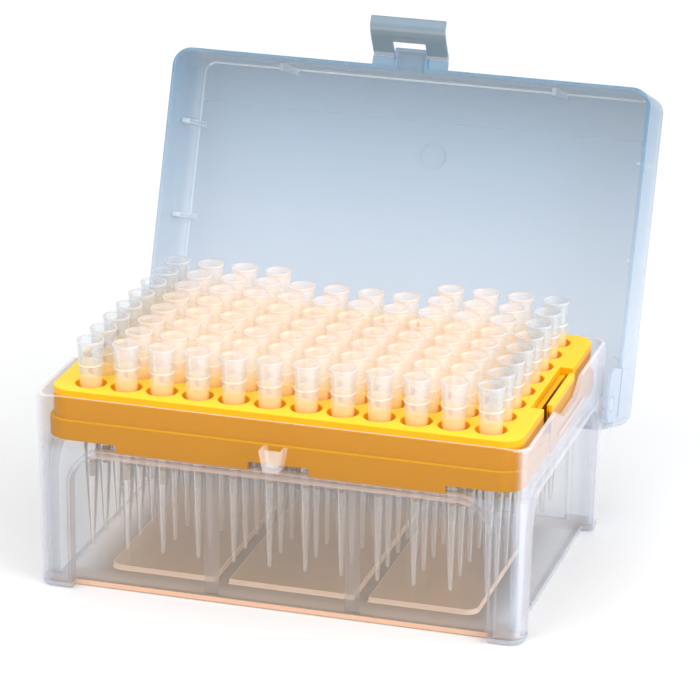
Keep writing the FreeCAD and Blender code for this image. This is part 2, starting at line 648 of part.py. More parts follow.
def tip_profile():
    """Half section of a tip as (radius, height): up its outside, then down its bore."""
    ring_low = "tip_ring_drop + tip_ring_height"
    filter_low = "tip_filter_drop + tip_filter_length"
    outside = [
        ("tip_point_diameter / 2", "tip_length"),
        ("tip_lower_diameter / 2", filter_low),
        ("tip_upper_diameter / 2", "tip_filter_drop"),
        ("tip_body_diameter / 2", "tip_seat_drop"),
        ("tip_seat_diameter / 2", "tip_seat_drop"),
        ("tip_seat_diameter / 2", "tip_seat_drop - tip_seat_height"),
        ("tip_waist_diameter / 2", "tip_seat_drop - tip_seat_height"),
        ("tip_collar_diameter / 2", ring_low),
        ("tip_ring_diameter / 2", ring_low),
        ("tip_ring_diameter / 2", "tip_ring_drop"),
        ("tip_collar_diameter / 2", "tip_ring_drop"),
        ("tip_neck_diameter / 2", "tip_lip"),
        ("tip_lip_diameter / 2", "tip_lip"),
        ("tip_lip_diameter / 2", "0"),
    ]
    inside = [
        ("tip_bore / 2", "0"),
        ("tip_waist_diameter / 2 - tip_wall", "tip_seat_drop - tip_seat_height"),
        ("tip_body_diameter / 2 - tip_wall", "tip_seat_drop + tip_seat_height"),
        ("tip_upper_diameter / 2 - tip_wall", "tip_filter_drop"),
        ("tip_lower_diameter / 2 - tip_wall", filter_low),
        ("tip_orifice / 2", "tip_length"),
    ]
    return [(radius, below_mouth(drop)) for radius, drop in outside + inside]


def filter_profile():
    """Half section of the filter plug that sits in a tip."""
    slack = "tip_wall + filter_clearance"
    high, low = below_mouth("tip_filter_drop"), below_mouth("tip_filter_drop + tip_filter_length")
    return [("0", low), (f"tip_lower_diameter / 2 - ({slack})", low),
            (f"tip_upper_diameter / 2 - ({slack})", high), ("0", high)]


def make_columns(kind, profile):
    """One body for each column of tips or filters, with as many copies as the column holds."""
    bodies = []
    for column in range(1, int(number("grid_columns")) + 1):
        short = number("short_columns_from") <= column <= number("short_columns_to")
        rows = "grid_rows - 1" if short else "grid_rows"
        name = f"{kind}_column_{column:02d}"
        body = grid_body(name, profile, rows)
        bind(body, "Placement.Base.x", f"{FIRST_X} + {column - 1} * {PITCH_X}")
        bind(body, "Placement.Base.y", FIRST_Y)
        body.Label = name
        bodies.append(body)
    return bodies


# ------------------------------------------------------------------------------------ the lid

LID_HALF_X = f"({HALF_X} + lid_clearance + lid_wall)"
LID_HALF_Y = f"({HALF_Y} + lid_front_clearance + lid_wall)"
LID_RIM = "(base_height - lid_overlap)"
LID_TOP = f"({LID_RIM} + lid_height)"
LATCH_Y = f"(-{LID_HALF_Y} - flange_reach)"
LATCH_Z = f"({LID_RIM} + flange_level + flange_thickness / 2)"
SWING = "placement(vector(0; 0; 0); rotation(vector(1; 0; 0); -{angle}); vector(0; {y}; {z}))"
LID_SWING = SWING.format(angle="lid_open", y=PIVOT_Y, z=PIVOT_Z)
LATCH_SWING = SWING.format(angle="latch_rest", y=LATCH_Y, z=LATCH_Z)


def make_lid():
    """Clear cover: drafted shell, stop ribs, hinge ears, catch hood, latch flange and marks."""
    lean = "-atan(lid_top_inset / lid_height)"
    outside = drafted_body("lid_outside", LID_HALF_X, LID_HALF_Y, "lid_corner", LID_RIM,
                           "lid_height", lean, ("high", "lid_edge_round"))
    inside = drafted_body("lid_inside", f"{LID_HALF_X} - lid_wall", f"{LID_HALF_Y} - lid_wall",
                          "lid_corner - lid_wall", LID_RIM, "lid_height - lid_wall", lean,
                          ("high", "lid_inner_round"))
    shell = cut("lid_shell", outside, inside)
    hood, hood_hollow = make_hood()
    ears, ear_holes = make_ears()
    body = fuse("lid_body", [shell, make_stop_ribs(), make_marks(), make_flanges(), hood, ears])
    lid = cut("lid", body, fuse("lid_cuts", [hood_hollow, ear_holes]), True)
    lid.Label = "lid"
    bind(lid, "Placement", LID_SWING)
    return lid


def make_stop_ribs():
    """Short ribs inside the lid's walls that come down on the base rim."""
    low, high = "base_height + lid_rest_gap", f"{LID_TOP} - lid_wall / 2"
    thick = "lid_rib_thickness / 2"
    front = box("stop_rib_front", (f"lid_front_rib_offset - {thick}",
                                   f"lid_front_rib_offset + {thick}"),
                (f"-{LID_HALF_Y} + lid_top_inset + lid_wall / 2", f"-{HALF_Y} + base_wall"),
                (low, high))
    side_x = (f"{HALF_X} - base_wall", f"{LID_HALF_X} - lid_top_inset - lid_wall / 2")
    middle = box("stop_rib_middle", side_x, (f"-{thick}", thick), (low, high))
    outer = box("stop_rib_outer", side_x, (f"lid_side_rib_offset - {thick}",
                                           f"lid_side_rib_offset + {thick}"), (low, high))
    side = fuse("stop_ribs_side", [middle, pair("stop_ribs_outer", outer, (0, 1, 0))])
    return fuse("stop_ribs", [pair("stop_ribs_front", front, (1, 0, 0)),
                              pair("stop_ribs_sides", side, (1, 0, 0))])


def make_marks():
    """Moulding marks: a fine ring inside the panel and a short line on top of it."""
    ring_x, ring_y = "mark_ring_offset", "-mark_ring_forward"
    discs = []
    for name, radius in (("mark_disc", "mark_ring_diameter / 2"),
                         ("mark_core", "mark_ring_diameter / 2 - mark_width")):
        disc = DOC.addObject("Part::Cylinder", name)
        bind(disc, "Radius", radius)
        bind(disc, "Height", "mark_rise + lid_wall / 2")
        bind(disc, "Placement.Base.x", ring_x)
        bind(disc, "Placement.Base.y", ring_y)
        bind(disc, "Placement.Base.z", f"{LID_TOP} - lid_wall - mark_rise")
        discs.append(disc)
    ring = cut("mark_ring", discs[0], discs[1])
    gate = box("mark_gate", ("-mark_width", "mark_width"), ("-gate_length / 2", "gate_length / 2"),
               (f"{LID_TOP} - lid_wall / 2", f"{LID_TOP} + mark_rise"))
    return fuse("marks", [ring, gate])


def make_hood():
    """Hood on the lid's front wall and the room in it for the catch."""
    front = f"(-{LID_HALF_Y} - hood_reach)"
    back = f"-{LID_HALF_Y} + lid_wall"
    hood = box("hood_block", ("-hood_width / 2", "hood_width / 2"),
               (front, f"-{LID_HALF_Y} + lid_wall / 2"), (LID_RIM, f"{LID_RIM} + hood_height"))
    room = box("hood_room", ("-hood_inner_width / 2", "hood_inner_width / 2"),
               (f"{front} + hood_wall", f"{back} + 1"),
               (f"{LID_RIM} - 1", f"{LID_RIM} + hood_height - hood_wall"))
    return hood, room


def make_flanges():
    """Flange beside the hood that carries the latch."""
    flange = box("latch_flange", ("hood_width / 2 - 0.1", "flange_width / 2"),
                 (f"{LATCH_Y} + latch_thickness / 2 + latch_gap",
                  f"-{LID_HALF_Y} + lid_wall / 2"),
                 (f"{LID_RIM} + flange_level", f"{LID_RIM} + flange_level + flange_thickness"))
    return pair("latch_flanges", flange, (1, 0, 0))


def make_ears():
    """Ears at the back of the lid's end walls, with the holes for the pivot studs."""
    sketch = free_sketch("ear_outline", YZ, (f"{LID_HALF_X} - lid_wall", "0", "0"))
    back = f"{LID_HALF_Y} - ear_setback"
    round_outline(sketch, (f"{back} - ear_width", back, f"{LID_RIM} - ear_drop",
                           f"{LID_RIM} + 0.5"),
                  ["ear_corner", None, None, "ear_corner"])
    ear = extrude("ear", sketch, "lid_wall")
    hole = DOC.addObject("Part::Cylinder", "ear_hole")
    hole.Placement = FreeCAD.Placement(FreeCAD.Vector(), FreeCAD.Rotation(0, 90, 0))
    bind(hole, "Radius", "pivot_diameter / 2 + pivot_clearance")
    bind(hole, "Height", "lid_wall + 2")
    bind(hole, "Placement.Base.x", f"{LID_HALF_X} - lid_wall - 1")
    bind(hole, "Placement.Base.y", PIVOT_Y)
    bind(hole, "Placement.Base.z", PIVOT_Z)
    return pair("ears", ear, (1, 0, 0)), pair("ear_holes", hole, (1, 0, 0))


# ---------------------------------------------------------------------------------- the latch

def latch_path(side):
    """Corners of one face of the latch, from the fold to its edge; side is -1 or +1.

    The flap hangs straight down from the fold; its outer face is towards -Y.
    """
    half = "latch_thickness / 2"
    first, second = "latch_first_bend", "(latch_first_bend + latch_second_bend)"
    mitres = ("0", f"({first} / 2)", f"({first} + latch_second_bend / 2)", second)
    turns = ("0", first, second)
    spots = [("0", "0"), ("0", "-latch_straight")]
    y, z = spots[-1]
    y, z = (f"({y} - latch_middle * sin({first}))", f"({z} - latch_middle * cos({first}))")
    spots.append((y, z))
    spots.append((f"({y} - latch_lip * sin({second}))", f"({z} - latch_lip * cos({second}))"))
    corners = []
    for i, ((y, z), mitre) in enumerate(zip(spots, mitres)):
        bend = "0" if i in (0, 3) else f"(({turns[i]} - {turns[i - 1]}) / 2)"
        reach = f"{half} / cos({bend})"
        corners.append((f"{y} + {side} * {reach} * cos({mitre})",
                        f"{z} - {side} * {reach} * sin({mitre})"))
    return corners


def make_latch():
    """Flap with a window, modelled hanging straight down from the fold on the lid's flange."""
    body = DOC.addObject("PartDesign::Body", "latch")
    sketch = body_sketch(body, "latch_profile", "YZ_Plane")
    corners = latch_path(1) + list(reversed(latch_path(-1)))
    outline(sketch, [(f"{LATCH_Y} + {y}", f"{LATCH_Z} + {z}") for y, z in corners])
    flap = body.newObject("PartDesign::Pad", "latch_flap")
    flap.Profile = sketch
    flap.SideType = "Symmetric"
    bind(flap, "Length", "latch_width")
    DOC.recompute()
    window = body_sketch(body, "latch_window", "XZ_Plane")
    half = "latch_window_width / 2"
    outline(window, [(f"-{half}", f"{LATCH_Z} - latch_window_length"),
                     (half, f"{LATCH_Z} - latch_window_length"),
                     (half, f"{LATCH_Z} + latch_thickness"),
                     (f"-{half}", f"{LATCH_Z} + latch_thickness")])
    opening = body.newObject("PartDesign::Pocket", "latch_opening")
    opening.Profile = window
    opening.Type = "ThroughAll"
    opening.SideType = "Symmetric"
    DOC.recompute()
    fold = [f"Edge{i}" for i, edge in enumerate(opening.Shape.Edges, start=1)
            if all(abs(vertex.Z - number(LATCH_Z)) < 1e-4 for vertex in edge.Vertexes)
            and abs(edge.Vertexes[0].X - edge.Vertexes[-1].X) > 1]
    rounding = body.newObject("PartDesign::Fillet", "latch_fold")
    rounding.Base = (opening, fold)
    bind(rounding, "Radius", "latch_thickness * 0.49")
    body.Tip = rounding
    body.Label = "latch"
    bind(body, "Placement", f"{LID_SWING} * {LATCH_SWING}")
    return body


# ------------------------------------------------------------------------------------- output

def check(pieces):
    """Stop if any feature failed or any piece has no sound shape."""
    for item in DOC.Objects:
        if {"Invalid", "Error"} & set(item.State):
            raise RuntimeError(f"{item.Name} failed: {item.State} {item.getStatusString()}")
    for piece in pieces:
        if piece.Shape.isNull() or not piece.Shape.isValid():
            raise RuntimeError(f"{piece.Label} has no sound shape")


def main():
    """Build every piece, check the document and write one file for each node."""
    fill_sheet()
    pieces = [make_base(), make_rack(), make_lid(), make_latch()]
    pieces += make_columns("tips", tip_profile())
    pieces += make_columns("filters", filter_profile())
    DOC.recompute()
    check(pieces)
    os.makedirs("parts", exist_ok=True)
    for piece in pieces:
        piece.Shape.exportStep(os.path.join("parts", piece.Label + ".step"))
        size = piece.Shape.BoundBox
        print(f"{piece.Label}: {len(piece.Shape.Solids)} solid(s), volume "
              f"{piece.Shape.Volume:.1f}, x {size.XMin:.2f}..{size.XMax:.2f}, "
              f"y {size.YMin:.2f}..{size.YMax:.2f}, z {size.ZMin:.2f}..{size.ZMax:.2f}")


if __name__ == "__main__":
    main()
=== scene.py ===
"""Looks for the hinged box of pipette tips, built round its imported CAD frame."""
import logging
import math
from contextlib import contextmanager
from dataclasses import dataclass, field
from enum import Enum
from typing import Any, Callable, Iterator, Optional, Sequence, Union

import bmesh
import bpy
from mathutils import Matrix, Vector


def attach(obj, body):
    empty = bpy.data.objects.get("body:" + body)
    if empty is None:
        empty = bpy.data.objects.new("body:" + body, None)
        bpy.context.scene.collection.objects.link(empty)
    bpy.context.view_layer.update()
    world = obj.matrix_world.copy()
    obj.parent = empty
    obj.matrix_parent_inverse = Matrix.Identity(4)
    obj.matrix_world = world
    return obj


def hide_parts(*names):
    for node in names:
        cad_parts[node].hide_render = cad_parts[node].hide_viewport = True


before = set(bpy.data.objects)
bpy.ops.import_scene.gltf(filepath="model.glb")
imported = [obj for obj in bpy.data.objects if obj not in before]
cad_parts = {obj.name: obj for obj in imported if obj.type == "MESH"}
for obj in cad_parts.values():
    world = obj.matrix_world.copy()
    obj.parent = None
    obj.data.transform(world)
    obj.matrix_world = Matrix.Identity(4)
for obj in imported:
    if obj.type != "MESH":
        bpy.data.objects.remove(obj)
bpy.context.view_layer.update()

LOG = logging.getLogger("tip_box")
MM = 0.001

# Shared sizes, in millimetres and degrees.
RACK_TOP = 50.36
RACK_LEDGE = 42.9
LATCH_FOLD = (72.0655, 108.9375)
LATCH_LEAN = 29.27

# Least upward part of the normal of a face that counts as level, and most sideways part of the
# normal of one that doesn't look along that direction.
LEVEL = 0.9
ASIDE = 0.7

# Polypropylene's refractive index and the satin of moulded walls, with its unevenness.
PLASTIC_IOR = 1.49
SATIN = 0.34
UNEVEN = 0.06

# Colours that aren't a finish's own.
WHITE = (1.0, 1.0, 1.0)
BLACK = (0.0, 0.0, 0.0)

Colour = tuple[float, float, float]
Span = tuple[float, float]
Term = Union["Signal", float]


# ---------------------------------------------------------------------------------- shader maths

class Signal:
    """A shader socket that takes part in plain arithmetic."""

    def __init__(self, tree: bpy.types.NodeTree, socket: bpy.types.NodeSocket) -> None:
        """Keep the tree and the output socket.

        Args:
            tree: Node tree that the socket belongs to.
            socket: Output socket that carries a number.
        """
        self.tree = tree
        self.socket = socket

    def _join(self, operation: str, *terms: Term) -> "Signal":
        """Add a Math node over the given terms.

        Args:
            operation: Name of the Math node's operation.
            terms: Signals or plain numbers, in the node's order.

        Returns:
            The node's result.
        """
        node = self.tree.nodes.new("ShaderNodeMath")
        node.operation = operation
        for slot, term in zip(node.inputs, terms):
            if isinstance(term, Signal):
                self.tree.links.new(term.socket, slot)
            else:
                slot.default_value = term
        return Signal(self.tree, node.outputs[0])

    def __add__(self, other: Term) -> "Signal":
        """Sum."""
        return self._join("ADD", self, other)

    def __radd__(self, other: float) -> "Signal":
        """Sum with a number on the left."""
        return self._join("ADD", other, self)

    def __sub__(self, other: Term) -> "Signal":
        """Difference."""
        return self._join("SUBTRACT", self, other)

    def __rsub__(self, other: float) -> "Signal":
        """Difference from a number."""
        return self._join("SUBTRACT", other, self)

    def __mul__(self, other: Term) -> "Signal":
        """Product."""
        return self._join("MULTIPLY", self, other)

    def __rmul__(self, other: float) -> "Signal":
        """Product with a number on the left."""
        return self._join("MULTIPLY", other, self)

    def __truediv__(self, other: Term) -> "Signal":
        """Quotient."""
        return self._join("DIVIDE", self, other)

    def abs(self) -> "Signal":
        """Size without sign."""
        return self._join("ABSOLUTE", self)

    def max(self, other: Term) -> "Signal":
        """Greater of the two."""
        return self._join("MAXIMUM", self, other)

    def band(self, low: float, high: float, soft: float = 0.06) -> "Signal":
        """1 between low and high, 0 outside, with soft ends."""
        return self.ramp(low - soft, low + soft) * (1.0 - self.ramp(high - soft, high + soft))

    def clamp(self) -> "Signal":
        """Limit to 0..1."""
        return self._join("MAXIMUM", self._join("MINIMUM", self, 1.0), 0.0)

    def about(self, level: float, swing: float) -> "Signal":
        """Turn a noise round 0.5 into one round a level, with a swing from end to end."""
        return level + swing * (self - 0.5)

    def ramp(self, low: float, high: float) -> "Signal":
        """Rise from 0 at low to 1 at high, limited on both sides."""
        return ((self - low) / (high - low)).clamp()


Input = Union[Signal, bpy.types.NodeSocket, float, Sequence[float]]


class Paint:
    """One material under construction, round a single Principled shader."""

    def __init__(self, name: str) -> None:
        """Start a material that holds only its output and a Principled shader.

        Args:
            name: Name of the material.
        """
        self.material = bpy.data.materials.new(name)
        self.material.use_nodes = True
        self.tree = self.material.node_tree
        self.tree.nodes.clear()
        self.output = self.tree.nodes.new("ShaderNodeOutputMaterial")
        self.surface = self.node("ShaderNodeBsdfPrincipled")
        self.tree.links.new(self.surface.outputs[0], self.output.inputs["Surface"])

    def node(self, kind: str, settings: Optional[dict[str, Any]] = None,
             inputs: Optional[dict[Union[str, int], Input]] = None) -> bpy.types.Node:
        """Add a node.

        Args:
            kind: Blender's type name of the node.
            settings: Properties that are set before the sockets.
            inputs: Values or links for the sockets, by name or number.

        Returns:
            The new node.
        """
        node = self.tree.nodes.new(kind)
        for key, value in (settings or {}).items():
            setattr(node, key, value)
        for key, value in (inputs or {}).items():
            self.fill(node.inputs[key], value)
        return node

    def fill(self, slot: bpy.types.NodeSocket, value: Input) -> None:
        """Link a value to a socket, or set it there where it is a constant.

        Args:
            slot: Input socket.
            value: Signal, output socket, number or colour.
        """
        if isinstance(value, Signal):
            value = value.socket
        if isinstance(value, bpy.types.NodeSocket):
            self.tree.links.new(value, slot)
        elif slot.type == "RGBA":
            slot.default_value = (*value, 1.0)
        else:
            slot.default_value = value

    def place(self) -> bpy.types.NodeSocket:
        """Object coordinates, in metres."""
        return self.node("ShaderNodeTexCoord").outputs["Object"]

    def axis(self, name: str) -> Signal:
        """One of the object coordinates, in millimetres.

        Args:
            name: "X", "Y" or "Z".

        Returns:
            That coordinate as a signal.
        """
        split = self.node("ShaderNodeSeparateXYZ", inputs={0: self.place()})
        return Signal(self.tree, split.outputs[name]) / MM

    def mark(self, name: str) -> Signal:
        """A number that the faces of a piece carry."""
        return Signal(self.tree, self.node("ShaderNodeAttribute",
                                           {"attribute_name": name}).outputs["Fac"])

    def facing_up(self) -> Signal:
        """Upward part of the surface normal."""
        split = self.node("ShaderNodeSeparateXYZ", inputs={
            0: self.node("ShaderNodeNewGeometry").outputs["Normal"]})
        return Signal(self.tree, split.outputs["Z"])

    def clear(self, solid: Input, gloss: Term) -> None:
        """Make the body see-through and keep a full gloss on it.

        Args:
            solid: Alpha of the body.
            gloss: Share of the Fresnel reflection that is kept.
        """
        self.set(Alpha=solid)
        fresnel = self.node("ShaderNodeFresnel", inputs={"IOR": PLASTIC_IOR}).outputs[0]
        shine = self.node("ShaderNodeBsdfPrincipled", inputs={
            "Base Color": WHITE, "Metallic": 1.0, "Roughness": 0.18})
        mix = self.node("ShaderNodeMixShader", inputs={
            0: Signal(self.tree, fresnel) * gloss, 1: self.surface.outputs[0],
            2: shine.outputs[0]})
        self.tree.links.new(mix.outputs[0], self.output.inputs["Surface"])

    def noise(self, size_mm: float, detail: float) -> Signal:
        """Soft noise whose features are about size_mm across.

        Args:
            size_mm: Feature size in millimetres.
            detail: Octaves.

        Returns:
            The noise, about 0.5 on average.
        """
        node = self.node("ShaderNodeTexNoise", inputs={
            "Vector": self.place(), "Scale": 1 / (size_mm * MM), "Detail": detail})
        return Signal(self.tree, node.outputs["Fac"])

    def blend(self, share: Input, first: Input, second: Input) -> bpy.types.NodeSocket:
        """Mix two colours.

        Args:
            share: How much of the second colour shows.
            first: Colour or link.
            second: Colour or link.

        Returns:
            The mixed colour.
        """
        node = self.node("ShaderNodeMix", {"data_type": "RGBA"}, {0: share, 6: first, 7: second})
        return node.outputs[2]

    def set(self, **values: Input) -> None:
        """Set sockets of the Principled shader; an underscore in a name stands for a space."""
        for key, value in values.items():
            self.fill(self.surface.inputs[key.replace("_", " ")], value)

    def bump(self, height: Signal, depth_mm: float) -> None:
        """Give the shader's normal a fine relief.

        Args:
            height: Relief, 0..1.
            depth_mm: Depth of the relief in millimetres.
        """
        node = self.node("ShaderNodeBump", inputs={
            "Height": height, "Distance": depth_mm * MM, "Strength": 1.0})
        self.tree.links.new(node.outputs[0], self.surface.inputs["Normal"])


# -------------------------------------------------------------------------------------- finishes

@dataclass(frozen=True)
class BaseFinish:
    """Clear polypropylene of the lower box: cool at its corners, warm in its middle with painted
    light.
    """

    name: str = "base_plastic"
    cool: Colour = (0.50, 0.58, 0.72)
    # Painted orange light from the rack, on the middle of the walls.
    warm: Colour = (0.78, 0.64, 0.53)
    end: Colour = (0.84, 0.87, 0.98)
    # Floor tones with painted light: pad, gutter, riser and front_edge carry the rack's orange light,
    # border is the floor painted lighter at the sides, and shade is painted shadow.
    pad: Colour = (0.86, 0.51, 0.23)
    gutter: Colour = (0.78, 0.62, 0.52)
    border: Colour = (0.97, 0.95, 0.97)
    shade: Colour = (0.40, 0.32, 0.25)
    riser: Colour = (1.0, 0.74, 0.56)
    front_edge: Colour = (0.94, 0.54, 0.35)
    # Painted highlight on the rounded edges and the rim's top.
    edge: Colour = (0.90, 0.86, 0.88)
    catch: Colour = (0.98, 0.96, 0.96)
    # Painted light and shade: veil is the rack's orange light in the wall before it, jamb is painted
    # shade on the arches' sides and ribs, and arch is the rack's orange light on the arch shelves.
    veil: Colour = (0.60, 0.34, 0.06)
    jamb: Colour = (0.36, 0.31, 0.30)
    arch: Colour = (0.96, 0.70, 0.56)
    wall_solid: float = 0.12
    end_solid: float = 0.20
    band_solid: float = 0.03
    floor_solid: float = 0.50
    front_solid: float = 0.75
    edge_solid: float = 0.30
    jamb_solid: float = 0.38
    catch_solid: float = 0.20
    veil_share: float = 0.8
    dark_share: float = 0.9
    gloss: float = 0.2
    band_gloss: float = 0.06
    pad_gloss: float = 0.5
    foot_top: Span = (1.25, 1.4)
    # Height and sharpness of a painted shadow line along the foot of the front panel.
    shadow_line_height: float = 1.45
    shadow_line_sharpness: float = 5.0
    above_floor: Span = (1.0, 2.0)
    corner: Span = (57.8, 59.4)
    shelf: Span = (35.9, 37.1)
    middle_wide: Span = (42.0, 58.0)
    middle_high: Span = (26.0, 44.0)
    # Where the painted shadow beside the pads fades out.
    gutter_deep: Span = (29.1, 33.8)
    border_wide: Span = (46.5, 53.0)

    def material(self) -> bpy.types.Material:
        """Build the material."""
        paint = Paint(self.name)
        x, y, z = (paint.axis(name) for name in "XYZ")
        cloud = paint.noise(size_mm=14.0, detail=1.0)
        edge, jamb, arch = (paint.mark(name) for name in ("edge", "jamb", "arch"))
        pad, riser, floor = (paint.mark(name) for name in ("pad", "riser", "floor"))
        front, catch = paint.mark("front"), paint.mark("catch")
        foot = 1.0 - z.ramp(*self.foot_top)
        front_edge = front * foot
        # Painted shadow line along the foot of the front panel.
        shadow_line = front * (1.0 - (z - self.shadow_line_height).abs() * self.shadow_line_sharpness).clamp()
        end = x.abs().ramp(*self.corner) * z.ramp(*self.above_floor)
        above_shelf = z.ramp(*self.shelf)
        band = above_shelf * (1.0 - end)
        middle = (1.0 - x.abs().ramp(*self.middle_wide)) * (1.0 - z.ramp(*self.middle_high))
        # Painted shadow on the floor next to the pads, fading towards the panels.
        near = 1.0 - y.abs().ramp(*self.gutter_deep)
        ground = paint.blend(near, self.gutter, self.shade)
        # Floor painted lighter towards the sides.
        ground = paint.blend(x.abs().ramp(*self.border_wide) * near, ground, self.border)
        # Painted orange light from the rack on the pads, their risers and the floor's front edge.
        ground = paint.blend(pad, ground, self.pad)
        ground = paint.blend(riser, ground, self.riser)
        ground = paint.blend(front_edge, ground, self.front_edge)
        # Painted orange light from the rack in the middle of the walls.
        tone = paint.blend(middle, self.cool, self.warm)
        tone = paint.blend(end, tone, self.end)
        # Painted rack light in the wall before the rack, painted shade on the jambs, painted rack
        # light on the arch shelves and painted highlight on the edges.
        tone = paint.blend(band * self.veil_share, tone, self.veil)
        tone = paint.blend(jamb * self.dark_share, tone, self.jamb)
        tone = paint.blend(arch * self.dark_share, tone, self.arch)
        tone = paint.blend(edge, tone, self.edge)
        tone = paint.blend(floor.max(front_edge), tone, ground)
        # Painted shadow line along the foot of the front panel.
        tone = paint.blend(shadow_line, tone, self.shade)
        tone = paint.blend(catch, tone, self.catch)
        solid = (self.wall_solid + (self.band_solid - self.wall_solid) * band
                 + (self.floor_solid - self.wall_solid) * floor.max(foot)
                 + (self.front_solid - self.floor_solid) * front_edge
                 + self.end_solid * end * (1.0 - 0.5 * above_shelf) + self.edge_solid * edge
                 + self.catch_solid * catch * (1.0 + 2.0 * edge)
                 + self.jamb_solid * jamb.max(arch).max(riser.max(shadow_line)))
        paint.set(Base_Color=tone, Roughness=cloud.about(SATIN, UNEVEN), IOR=PLASTIC_IOR)
        paint.bump(cloud, depth_mm=0.02)
        paint.clear(solid, self.gloss - (self.gloss - self.band_gloss) * band
                    + self.pad_gloss * pad)
        return paint.material


@dataclass(frozen=True)
class LidFinish:
    """Clear polypropylene of the lid, with painted shade: darker and bluer towards its free edge."""

    name: str = "lid_plastic"
    # Painted shade: low is the tone near the hinge side, high the darker, bluer one at the free edge.
    low: Colour = (0.48, 0.62, 0.80)
    high: Colour = (0.03, 0.20, 0.37)
    ring: Colour = (0.16, 0.26, 0.36)
    # Painted highlight on the roundings and ribs.
    edge: Colour = (0.90, 0.95, 1.0)
    low_solid: float = 0.38
    high_solid: float = 0.54
    ring_solid: float = 0.22
    edge_solid: float = 0.30
    gloss: float = 0.35
    fade: Span = (40.0, 106.0)

    def material(self) -> bpy.types.Material:
        """Build the material."""
        paint = Paint(self.name)
        cloud = paint.noise(size_mm=14.0, detail=1.0)
        fine = paint.noise(size_mm=0.9, detail=0.0)
        rise = paint.axis("Z").ramp(*self.fade)
        ring, edge = paint.mark("ring"), paint.mark("edge")
        # Painted shade, darker and bluer towards the free edge; painted highlight on the roundings and
        # ribs.
        tone = paint.blend(rise, self.low, self.high)
        tone = paint.blend(edge, tone, self.edge)
        tone = paint.blend(ring, tone, self.ring)
        paint.set(Base_Color=tone, Roughness=cloud.about(SATIN, UNEVEN), IOR=PLASTIC_IOR)
        paint.bump(fine, depth_mm=0.004)
        paint.clear(self.low_solid + (self.high_solid - self.low_solid) * rise
                    + self.edge_solid * edge + self.ring_solid * ring, self.gloss)
        return paint.material


@dataclass(frozen=True)
class LatchFinish:
    """Denser grey-blue polypropylene of the latch."""

    name: str = "latch_plastic"
    tone: Colour = (0.13, 0.225, 0.31)
    band: Colour = (0.40, 0.49, 0.57)
    solid: float = 0.66
    gloss: float = 0.4
    fold_band: Span = (0.5, 0.9)
    lip_band: Span = (8.3, 8.9)
    lip_share: float = 0.5
    lip_soft: float = 0.4
    cloud_tone: float = 1.2
    cloud_share: float = 0.6

    def material(self) -> bpy.types.Material:
        """Build the material."""
        paint = Paint(self.name)
        y, z = paint.axis("Y"), paint.axis("Z")
        cloud = paint.noise(size_mm=6.0, detail=1.0)
        fine = paint.noise(size_mm=0.7, detail=0.0)
        lean = math.radians(LATCH_LEAN)
        along = (z - LATCH_FOLD[1]) * math.cos(lean) - (y - LATCH_FOLD[0]) * math.sin(lean)
        lip = along.band(*self.lip_band, self.lip_soft) * self.lip_share
        light = (1.0 - along.ramp(*self.fold_band)).max(lip)
        tone = paint.blend((cloud - 0.3) * self.cloud_share, self.tone,
                           tuple(part * self.cloud_tone for part in self.tone))
        paint.set(Base_Color=paint.blend(light, tone, self.band),
                  Roughness=cloud.about(SATIN, UNEVEN), IOR=PLASTIC_IOR)
        paint.bump(fine, depth_mm=0.006)
        paint.clear(self.solid, self.gloss)
        return paint.material


